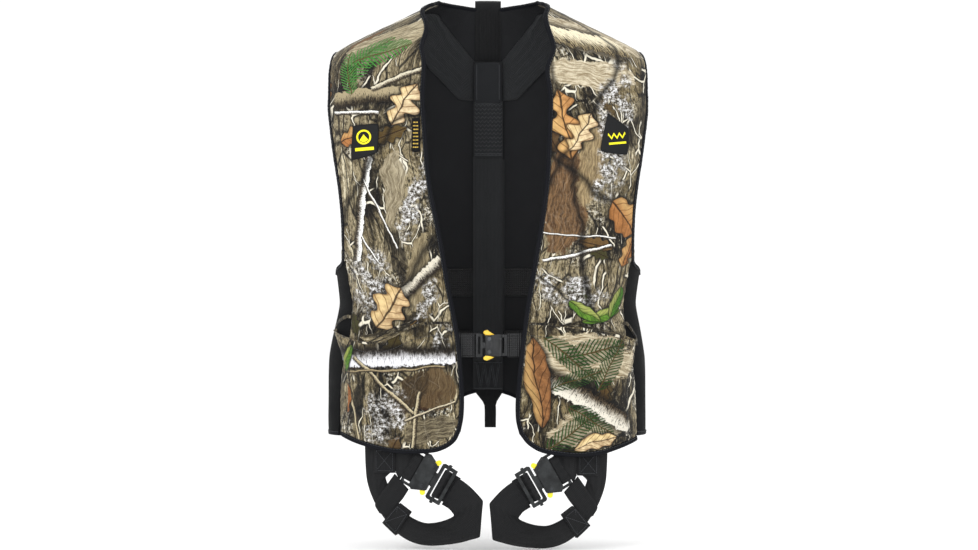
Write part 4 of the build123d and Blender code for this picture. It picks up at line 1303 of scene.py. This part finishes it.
def camo(name, motifs, depth=1.4):
    """Woodland print on brushed polyester: bark and branches with leaves and sprigs over them.

    depth is the power that darkens its middle tones."""
    s = Shade(name, rough=0.86, sheen=0.12, specular=0.2)
    where = s.uv()
    bent = s.vector("ADD", where, s.drift(where, 9.0, 0.05))
    # bark: fine upright grain over broad brown and grey bands
    grain_up = s.noise(s.stretch(bent, (170.0, 24.0, 1.0), 0.12), 1.0, 6.0, 0.68)
    broad = s.noise(s.stretch(bent, (16.0, 6.0, 1.0), 0.3), 1.0, 3.0, 0.5)
    mixed = s.mul_add(broad, 0.7, s.mul(grain_up, 0.55))
    base = s.ramp(mixed, [(0.44, hexa("17140f")), (0.52, hexa("3a3428")), (0.57, hexa("655d4a")),
                          (0.62, hexa("8a8069")), (0.67, hexa("b3a98f")), (0.72, hexa("776c57")),
                          (0.77, hexa("cfc6ad")), (0.86, hexa("ece7d6"))])
    # smooth peeled wood
    peeled = s.smooth(s.noise(s.vector("ADD", bent, (3.3, 1.7, 0.0)), 9.0, 2.0), 0.56, 0.62)
    grain = s.noise(s.stretch(bent, (60.0, 12.0, 1.0), 0.5), 1.0, 3.0)
    wood = s.mix(grain, hexa("5d523e"), hexa("b0a382"))
    base = s.over(base, peeled, 0.85, wood)
    # lichen: crisp white and near-black flecks in patches
    patch = s.noise(s.vector("ADD", bent, (7.1, 4.9, 0.0)), 11.0, 3.0, 0.6)
    fleck = s.noise(where, 210.0, 6.0, 0.78)
    white = s.mul(s.smooth(fleck, 0.51, 0.57), s.smooth(patch, 0.54, 0.62))
    black = s.mul(s.smooth(fleck, 0.50, 0.43), s.smooth(patch, 0.50, 0.60))
    base = s.over(base, black, 0.9, hexa("17120f"))
    base = s.over(base, white, 0.95, hexa("dcdad2"))
    # fine crackle of pale ridges and dark pits over all the bark
    crackle = s.noise(s.stretch(bent, (300.0, 120.0, 1.0), 0.3), 1.0, 6.0, 0.78)
    pits = s.smooth(crackle, 0.50, 0.40)
    ridges = s.smooth(crackle, 0.54, 0.66)
    base = s.over(base, pits, 0.75, hexa("1b1712"))
    base = s.over(base, ridges, 0.55, hexa("e2dccb"))
    # deep shade between the trunks
    hollow = s.stretch(s.vector("ADD", bent, (1.9, 8.3, 0.0)), (17.0, 8.0, 1.0), -0.3)
    shade = s.smooth(s.noise(hollow, 1.0, 4.0, 0.6), 0.53, 0.62)
    base = s.over(base, shade, 0.8, hexa("17110d"))
    cracks = s.cells(s.stretch(bent, (60.0, 14.0, 1.0), 0.25), 1.0, "DISTANCE_TO_EDGE").outputs[0]
    base = s.over(base, s.smooth(cracks, 0.045, 0.01), 0.8, hexa("120d0a"))
    # thin pale twigs crossing everything
    looped = s.vector("ADD", where, s.drift(where, 26.0, 0.024, 3.0))
    for turn, scale, keep_from in ((0.9, 13.0, 0.52), (-0.6, 17.0, 0.54), (2.1, 22.0, 0.56)):
        lanes = s.stretch(looped, (scale * 1.6, scale * 0.6, 1.0), turn)
        edge = s.cells(lanes, 1.0, "DISTANCE_TO_EDGE").outputs[0]
        keep = s.smooth(s.noise(where, 12.0 + 3 * turn, 1.0), keep_from, keep_from + 0.03)
        wide = s.mul(s.smooth(edge, 0.045, 0.020), keep)
        thin = s.mul(s.smooth(edge, 0.018, 0.008), keep)
        base = s.over(base, wide, 0.8, hexa("130e0b"))
        base = s.over(base, thin, 0.95, hexa("e6e1d2"))
    # scattered leaves: one in each cell, turned at random
    for scale, seed, keep_from in ((13.0, 3.1, 0.78), (19.0, 8.7, 0.90)):
        moved = s.vector("ADD", where, (seed, seed * 0.7, 0.0))
        cell = s.cells(moved, scale, randomness=0.6)
        local = s.vector("SUBTRACT", moved, cell.outputs["Position"])
        chance = s.node("SeparateColor", {0: cell.outputs["Color"]})
        angle = s.mul(chance.outputs[0], 6.28)
        along, across, _ = s.spun(local, angle)
        a = s.mul(along, scale * 2.9)
        b = s.mul(across, scale * 5.6)
        profile = s.mul(s.lens(a, 0.8), s.mul_add(s.math("COSINE", s.mul(a, 12.0)), 0.2, 0.8))
        side = s.size(b)
        inside = s.sub(profile, side)
        shown = s.math("GREATER_THAN", chance.outputs[1], keep_from)
        mask = s.mul(s.smooth(inside, 0.0, 0.08), shown)
        shadow = s.mul(s.smooth(inside, -0.35, 0.05), shown)
        tone = s.ramp(chance.outputs[2], [(0.0, hexa("6e4f31")), (0.3, hexa("a5855a")),
                                          (0.55, hexa("4d5a30")), (0.75, hexa("8b7858")),
                                          (1.0, hexa("57402a"))])
        rib = s.smooth(side, 0.09, 0.03)
        tone = s.over(tone, s.noise(where, 170.0, 3.0), 0.8, hexa("4b3420"))
        tone = s.over(tone, rib, 0.8, hexa("3c2a18"))
        base = s.over(base, shadow, 0.8, hexa("14100c"))
        base = s.mix(mask, base, tone)
    for kind, *facts in motifs:
        base = kind(s, base, where, *facts)
    # printing grain, and the knit of the cloth
    grain = s.noise(where, 900.0, 2.0)
    base = s.over(base, s.smooth(grain, 0.55, 0.75), 0.12, hexa("ffffff"))
    s.colour(s.node("Gamma", {0: base, 1: depth}).outputs[0])
    u, v, _ = s.split(where)
    loops = s.mul(s.sine(s.mul(u, KNIT)), s.sine(s.mul(v, KNIT)))
    knit = s.mul_add(loops, 0.35, s.noise(where, 380.0, 3.0))
    s.roughness(s.greys(grain, 0.78, 0.93))
    s.bump(knit, 0.0004, 0.6)
    return s.mat


TAN, RUST = hexa("e6d7b8"), hexa("bd8d5e")
UMBER, NEEDLE, NEEDLE_DARK = hexa("7a5630"), hexa("78b862"), hexa("2f6a32")
BIRCH, BIRCH_SHADE = hexa("f1f1ee"), hexa("766a59")
GREEN, MOSS = hexa("7ba046"), hexa("2f4a1c")
PALE_BARK, PALE_SHADE = hexa("e0d8c4"), hexa("a2957c")
FERN, FERN_DARK = hexa("4f8038"), hexa("16240f")
TWIG, CHESTNUT = hexa("cfc6ae"), hexa("b88b5c")
PANEL_MOTIFS = [
    (plank, 150, -58, -14, 76, 30, PALE_BARK, PALE_SHADE),
    (plank, 150, -112, -6, 70, 24, PALE_BARK, PALE_SHADE),
    (plank, 112, -300, 86, 80, 34, hexa("94795a"), hexa("5c4834")),
    (plank, 150, -250, 88, 60, 20, hexa("b8a888"), hexa("82735a")),
    (plank, -138, -280, 84, 60, 15, hexa("b9b09a"), hexa("847a66")),
    (plank, -140, -60, 30, 60, 30, TWIG, hexa("8d826a")),
    (plank, -104, -405, 78, 60, 18, hexa("b2a78c"), hexa("7d725c")),
    (lichen, 186, -170, 84, 80, 27),
    (lichen, 180, -262, 80, 46, 24),
    (lichen, 120, -430, -6, 60, 24),
    (lichen, -106, -300, 70, 66, 15),
    (lichen, -170, -420, 80, 52, 34),
    (lichen, -88, -450, 70, 40, 16),
    (branch, -184, -311, 258, 80, 5.5, BIRCH, BIRCH_SHADE),
    (branch, -158, -318, -66, 56, 1.6, BIRCH, BIRCH_SHADE),
    (branch, -172, -372, -62, 22, 1.8, BIRCH, BIRCH_SHADE),
    (branch, -178, -147, 4, 56, 11, hexa("b3a88e"), hexa("4a4030")),
    (branch, -196, -170, -3, 36, 2.6, BIRCH, BIRCH_SHADE),
    (branch, -133, -122, 22, 40, 3.6, hexa("d8d2c0"), BIRCH_SHADE),
    (branch, 130, -60, -14, 66, 17, hexa("ece4cd"), hexa("a4977a")),
    (branch, 132, -376, 14, 52, 2.4, BIRCH, BIRCH_SHADE),
    (branch, 128, -350, -4, 60, 1.3, BIRCH, BIRCH_SHADE),
    (branch, -100, -415, 40, 46, 8, hexa("d9d4c6"), hexa("4d443a")),
    (sprig, -185, -92, 60, 40, 23, NEEDLE, NEEDLE_DARK),
    (sprig, -158, -82, 20, 40, 19, NEEDLE, NEEDLE_DARK),
    (sprig, -205, -112, 105, 34, 17, NEEDLE, NEEDLE_DARK),
    (leaf, -122, -160, 60, 34, 22, TAN, UMBER, 0.30),
    (leaf, -196, -205, 20, 26, 15, RUST, UMBER, 0.2),
    (leaf, -142, -455, 55, 36, 32, hexa("dac6a2"), UMBER, 0.24),
    (leaf, 112, -190, 100, 52, 26, hexa("d0a876"), UMBER, 0.34),
    (leaf, 134, -200, 60, 34, 20, TAN, UMBER, 0.30),
    (leaf, 200, -325, -40, 30, 25, CHESTNUT, UMBER, 0.10),
    (leaf, 206, -372, 70, 24, 15, CHESTNUT, UMBER, 0.20),
    (leaf, 168, -468, 15, 34, 11, GREEN, MOSS, 0.0),
    (leaf, 142, -462, -35, 28, 9, GREEN, MOSS, 0.0),
    (leaf, 186, -448, 75, 26, 9, hexa("5f8a38"), MOSS, 0.0)]
POCKET_MOTIFS = [
    (plank, 140, -528, -4, 90, 34, PALE_BARK, PALE_SHADE),
    (plank, 150, -628, 8, 66, 24, PALE_BARK, PALE_SHADE),
    (plank, -74, -576, 84, 34, 26, hexa("86755a"), hexa("6a5a44")),
    (plank, -112, -580, 60, 40, 20, hexa("6c5d45"), hexa("4a3e2e")),
    (plank, -80, -632, 10, 44, 18, hexa("a39b86"), hexa("5c5344")),
    (lichen, -150, -612, 70, 48, 34),
    (lichen, -66, -500, 70, 40, 12),
    (branch, -128, -528, 182, 106, 12.5, hexa("e4e4e6"), hexa("4a4236")),
    (branch, -150, -570, -42, 62, 2.6, TWIG, BIRCH_SHADE),
    (branch, -104, -622, 84, 46, 2.4, TWIG, BIRCH_SHADE),
    (branch, -196, -600, 102, 56, 2.2, TWIG, BIRCH_SHADE),
    (branch, -84, -606, 22, 40, 1.6, hexa("d8d0bc"), BIRCH_SHADE),
    (branch, -140, -546, 3, 80, 1.6, hexa("b9ad92"), BIRCH_SHADE),
    (branch, 142, -590, 152, 84, 14, hexa("e2ded4"), hexa("6b5d48")),
    (sprig, 150, -520, 12, 52, 17, FERN, FERN_DARK),
    (sprig, 118, -528, -40, 48, 17, FERN, FERN_DARK),
    (sprig, 176, -540, 62, 42, 16, FERN, FERN_DARK),
    (sprig, 128, -560, 20, 40, 14, FERN, FERN_DARK),
    (sprig, 122, -636, 34, 46, 17, FERN, FERN_DARK),
    (sprig, 150, -620, -30, 40, 15, FERN, FERN_DARK),
    (leaf, 72, -562, 96, 66, 20, hexa("ab8660"), hexa("5a4028"), 0.06),
    (leaf, 156, -651, 12, 34, 13, TAN, UMBER, 0.1),
    (leaf, -206, -590, 80, 26, 10, RUST, UMBER, 0.1),
    (leaf, -204, -535, 60, 22, 9, GREEN, MOSS, 0.0)]
# One material per side: a print with many more motifs than this doesn't fit one shader
PANEL_CLOTH = {side: camo(f"camo_{word}_print", [m for m in PANEL_MOTIFS if m[1] * side > 0])
               for side, word in SIDES}
POCKET_CLOTH = camo("camo_pocket_print", POCKET_MOTIFS, 1.55)

TRIM_CLOTH = camo("camo_trim_print", [])


# ---- plain fabrics
def weave(name, thread, shade, pitch, distance, rough=0.75, sheen=0.0, chevron=0.0, specular=0.3):
    """Woven cloth or webbing, from cloth coordinates in metres: ribs across, threads along; painted shade
    in the low places between the threads.
    """
    s = Shade(name, rough=rough, sheen=sheen, specular=specular)
    where = s.uv()
    u, v, _ = s.split(where)
    per_metre = 2 * math.pi / pitch
    along = s.mul(v, per_metre)
    if chevron:
        along = s.add(along, s.mul(s.math("PINGPONG", u, chevron), per_metre))
    height = s.mul_add(s.sine(s.mul(u, per_metre)), 0.5, s.mul(s.sine(along), 0.5))
    fuzz = s.noise(where, 700.0, 3.0)
    height = s.add(height, s.mul(fuzz, 0.5))
    large = s.noise(where, 18.0, 4.0)
    # painted shade: the low places of the weave take the darker shade colour, the raised threads the thread
    # colour
    tone = s.mix(s.smooth(height, -0.9, 1.2), shade, thread)
    tone = s.over(tone, s.smooth(large, 0.45, 0.75), 0.5, thread)
    s.colour(tone)
    s.roughness(s.greys(large, rough - 0.1, min(rough + 0.12, 1)))
    s.bump(height, distance, 0.8)
    return s.mat


BLACK_CLOTH = weave("black_lining_weave",
                    hexa("27282a"), hexa("19191b"), 0.0011, 0.00025, 0.8, specular=0.12)
STRETCH = weave("black_stretch_knit", hexa("111213"), hexa("060607"), 0.0016, 0.0003, 0.8, specular=0.12)
TAPE = weave("binding_tape_weave", hexa("0c0e15"), hexa("050609"), 0.0013, 0.0003, 0.7, 0.0, specular=0.15)
WEBBING = weave("harness_webbing_weave",
                hexa("18191b"), hexa("080809"), 0.0021, 0.0006, 0.5, 0.01, 0.0055, 0.2)
SMOOTH_WEB = weave("sleeve_cordura_weave",
                   hexa("26282b"), hexa("151618"), 0.0012, 0.0003, 0.6, 0.02, specular=0.2)
INNER_WEB = weave("inner_webbing_weave", hexa("292b2e"), hexa("151617"), 0.0021, 0.0006, 0.5, 0.02, 0.0055)
THREAD = weave("black_bonded_thread", hexa("47494d"), hexa("2a2c2f"), 0.0009, 0.0001, 0.5, 0.03)
RIB_WEB = weave("belt_ribbed_weave", hexa("191a1c"), hexa("0a0a0b"), 0.0032, 0.0007, 0.42, 0.03)


# ---- metals, plastic, rubber
def metal(name, light, dark, rough, brushed, wear, metallic=1.0):
    """Brushed metal with clouded tone and fine scratches."""
    s = Shade(name, rough=rough, metal=metallic)
    where = s.place()
    lines = s.noise(s.stretch(where, (brushed, 60.0, 60.0)), 1.0, 4.0)
    cloud = s.noise(where, 70.0, 4.0)
    tone = s.mix(s.smooth(cloud, 0.3, 0.7), dark, light)
    scored = s.noise(s.stretch(where, (40.0, 900.0, 260.0), 0.6), 1.0, 5.0, 0.7)
    scratches = s.smooth(scored, 0.66, 0.74)
    tone = s.mix(s.mul(scratches, wear), tone, hexa("c9cccd"))
    s.colour(tone)
    s.roughness(s.greys(lines, rough - 0.08, rough + 0.12))
    s.bump(s.mul_add(scratches, -0.5, lines), 0.00008, 0.5)
    return s.mat


BUCKLE = metal("buckle_dark_satin", hexa("2f3132"), hexa("1c1d1e"), 0.34, 420.0, 0.2, 0.7)
STEEL = metal("rivet_dark_steel", hexa("3e4042"), hexa("2a2b2c"), 0.3, 700.0, 0.3)
WAIST_BUCKLE = metal("waist_buckle_dark", hexa("1c1d1f"), hexa("101112"), 0.4, 420.0, 0.15, 0.6)
CARABINER = metal("carabiner_plated_steel", hexa("bfc3c6"), hexa("94999d"), 0.25, 300.0, 0.35)
SLEEVE = metal("sleeve_knurled_steel", hexa("a4a8ab"), hexa("6f7375"), 0.34, 900.0, 0.3)


def coated(name, tone, shade):
    """Painted metal with a fine grain."""
    s = Shade(name, rough=0.38, specular=0.5, coat=0.15)
    where = s.place()
    cloud = s.noise(where, 55.0, 4.0)
    specks = s.smooth(s.noise(where, 900.0, 2.0), 0.66, 0.74)
    colour = s.mix(s.smooth(cloud, 0.3, 0.75), shade, tone)
    colour = s.over(colour, specks, 0.25, hexa("fff6c0"))
    s.colour(colour)
    s.roughness(s.greys(cloud, 0.32, 0.5))
    s.bump(s.noise(where, 1400.0, 2.0), 0.00006, 0.5)
    return s.mat


YELLOW = coated("lever_yellow_coat", hexa("f2e21c"), hexa("dccb10"))
GOLDEN = coated("lever_golden_coat", hexa("ecca3a"), hexa("d0a72a"))


def rubber_badge(name, kind, tilt):
    """Moulded black rubber with a raised yellow emblem of plain shapes."""
    s = Shade(name, rough=0.6, specular=0.2)
    where = s.uv()
    x, y, _ = (s.mul(part, 1 / MM) for part in s.spun(where, math.radians(tilt)))
    if kind == "ring":
        up = s.sub(y, 5.0)
        away = s.math("SQRT", s.add(s.mul(x, x), s.mul(up, up)))
        ring = s.smooth(s.size(s.sub(away, 9.5)), 1.6, 1.1)
        peak = s.sub(s.mul(s.size(x), 1.3), s.sub(4.0, up))     # under 0 inside the hill
        hill = s.mul(s.smooth(peak, 0.4, -0.4), s.smooth(away, 7.6, 7.0))
        bar = s.mul(s.smooth(s.size(s.add(y, 12.5)), 2.6, 2.1),
                     s.smooth(s.size(x), 14.0, 13.4))
        emblem = s.top(s.top(ring, hill), bar)
    else:
        zig = s.math("PINGPONG", s.add(x, 40.0), 4.0)
        line = s.smooth(s.size(s.sub(s.add(y, 2.0), s.mul(zig, 1.6))),
                        2.1, 1.5)
        within = s.smooth(s.size(x), 13.0, 12.4)
        foot = s.mul(s.smooth(s.size(s.add(y, 9.5)), 1.8, 1.3), within)
        emblem = s.top(s.mul(line, within), foot)
    grain = s.noise(where, 800.0, 3.0)
    base = s.mix(grain, hexa("08090a"), hexa("141517"))
    yellow = s.mix(s.noise(where, 300.0, 2.0), hexa("e2d51c"), hexa("f2ea2a"))
    s.colour(s.mix(emblem, base, yellow))
    s.bump(s.mul_add(emblem, 2.0, s.mul(grain, 0.3)), 0.0004, 0.7)
    return s.mat


def label_cloth():
    """Black satin label with plain gold rows woven into it."""
    s = Shade("label_gold_weave", rough=0.7, sheen=0.0, specular=0.15)
    where = s.uv()
    x, y, _ = (s.mul(part, 1 / MM) for part in s.split(where))
    rows = s.math("PINGPONG", s.add(y, 60.0), 2.6)
    spot = s.joined(s.mul(x, 0.7), s.math("FLOOR", s.math("DIVIDE", y, 5.2)))
    broken = s.smooth(s.noise(spot, 1.0, 1.0), 0.42, 0.5)
    mark = s.mul(s.mul(s.smooth(rows, 1.1, 0.7), broken),
                  s.mul(s.smooth(s.size(x), 4.0, 3.6),
                         s.smooth(s.size(y), 20.0, 19.4)))
    rib = s.sine(s.mul(y, 2 * math.pi / 0.6))
    # painted shade and highlight on the ribs: lighter on their crests, darker in their hollows
    base = s.mix(s.smooth(rib, -1.0, 1.0), hexa("08080a"), hexa("141416"))
    s.colour(s.mix(mark, base, hexa("c9a94e")))
    s.bump(s.mul_add(mark, 1.5, s.mul(rib, 0.4)), 0.0003, 0.7)
    return s.mat


RING_BADGE = rubber_badge("badge_rubber_ring", "ring", -4)
PEAK_BADGE = rubber_badge("badge_rubber_peaks", "peaks", -6)
LABEL = label_cloth()


def piece(name):
    """The scene's object of that name."""
    return bpy.data.objects[name]


POCKET_EDGES = ("rim", "back_rim", "lip")


def dress(names, materials):
    """Gives the named pieces their materials."""
    for name in names:
        obj = piece(name)
        obj.data.materials.clear()
        for material in materials:
            obj.data.materials.append(material)


LEGS = ("left_leg", "right_leg")
for side, word in SIDES:
    dress([f"front_cloth_{word}"], [PANEL_CLOTH[side], BLACK_CLOTH])
dress(["back_cloth"], [TRIM_CLOTH, BLACK_CLOTH])
dress([f"pocket_cloth_{w}" for w in WORDS], [POCKET_CLOTH, BLACK_CLOTH])
dress([f"pocket_{part}_{w}" for w in WORDS for part in POCKET_EDGES], [TRIM_CLOTH])
dress([f"stretch_side_{w}" for w in WORDS], [STRETCH, BLACK_CLOTH])
dress(["back_lining_cloth"], [BLACK_CLOTH, BLACK_CLOTH])
dress([band[1] for band in BANDS], [TAPE])
dress(["binding_stitches", "pocket_stitches", "tether_eye_stitches", "back_stitches"]
      + [f"{leg}_stitches" for leg in LEGS], [THREAD])
dress([f"shoulder_web_{w}" for w in WORDS] + ["centre_web", "centre_web_under_ply", "tear_web"],
      [INNER_WEB])
dress(["riser_web", "tether_web", "tether_eye", "tail_web_front", "tail_web_rear"]
      + [f"{leg}_{part}" for leg in LEGS for part in
         ("web", "rear_wrap", "slide_wrap", "hip_web", "cross_web", "keeper_front", "keeper_rear",
          "sewn_tab")],
      [WEBBING])
dress([f"belt_web_{w}" for w in WORDS] + ["back_elastic"], [RIB_WEB])
dress(["back_sleeve"], [SMOOTH_WEB])
dress(["badge_left"], [RING_BADGE])
dress(["badge_right"], [PEAK_BADGE])
dress(["side_label"], [LABEL])
dress([f"waist_lever_{part}_{place}" for part in ("tip", "stem") for place in ("upper", "lower")],
      [GOLDEN])

FINISH = {"buckle_metal": BUCKLE, "rivet_steel": STEEL, "lever_yellow": YELLOW,
          "carabiner_steel": CARABINER, "sleeve_metal": SLEEVE}
for row in frame["record"]["subparts"]:
    name = row["node"]
    finish = FINISH.get(row["material_slot"])
    holder = frame["nodes"].get(name)
    if finish is None or holder is None or holder.hide_render:
        continue
    if name.startswith("waist_lever"):
        finish = GOLDEN
    elif name.startswith("waist_") and finish is BUCKLE:
        finish = WAIST_BUCKLE
    for place in holder.material_slots:
        place.material = finish

# ---- camera, lights and floor
CAMERA_AT = (0.0015, -4.618, -0.408)
camera = bpy.data.cameras.new("photo_camera")
camera.lens = 114.2
camera.sensor_width = 36.0
camera.clip_end = 60.0
camera_holder = bpy.data.objects.new("photo_camera", camera)
camera_holder.location = CAMERA_AT
camera_holder.rotation_euler = (math.pi / 2, 0.0, 0.0)
bpy.context.scene.collection.objects.link(camera_holder)
bpy.context.scene.camera = camera_holder


def soft_light(name, place, target, size, power, colour=(1.0, 1.0, 1.0)):
    """A round area light aimed at a target."""
    data = bpy.data.lights.new(name, "AREA")
    data.shape = "DISK"
    data.size = size
    data.energy = power
    data.color = colour
    holder = bpy.data.objects.new(name, data)
    holder.location = place
    aim = Vector(target) - Vector(place)
    holder.rotation_euler = aim.to_track_quat("-Z", "Y").to_euler()
    bpy.context.scene.collection.objects.link(holder)
    return holder


CHEST = (0.0, 0.0, -0.35)
bpy.context.scene.view_settings.view_transform = "Standard"
soft_light("key_light", (-1.7, -2.6, 1.4), CHEST, 1.6, 30)
soft_light("fill_light", (2.0, -2.6, 0.5), CHEST, 2.0, 18)
soft_light("rim_light", (0.4, 2.2, 1.6), CHEST, 1.4, 14)
soft_light("low_light", (0.0, -2.4, -0.62), (0.0, 0.0, -0.6), 1.2, 17)

world = bpy.data.worlds.new("studio")
world.use_nodes = True
world.node_tree.nodes["Background"].inputs[0].default_value = (1.0, 1.0, 1.0, 1.0)
world.node_tree.nodes["Background"].inputs[1].default_value = 1.07
bpy.context.scene.world = world


def paint(name, tone):
    """Matt paint for the floor."""
    s = Shade(name, rough=0.9, specular=0.1)
    where = s.place()
    s.colour(s.mix(s.noise(where, 3.0, 2.0), tone, (0.97, 0.97, 0.97, 1.0)))
    return s.mat


FLOOR_Z = CAD_BOX[0].z - 0.002
FLOOR_R = 40.0
floor_rings = [0.0, 1.0, 2.5, 6.0, 15.0, FLOOR_R]
floor = new_object("studio_floor",
                   [(r * math.cos(t), r * math.sin(t), FLOOR_Z) for r in floor_rings
                    for t in circle(48)],
                   grid_faces(len(floor_rings), 48, wrap=True))
floor.data.materials.append(paint("studio_white", (0.94, 0.94, 0.94, 1.0)))
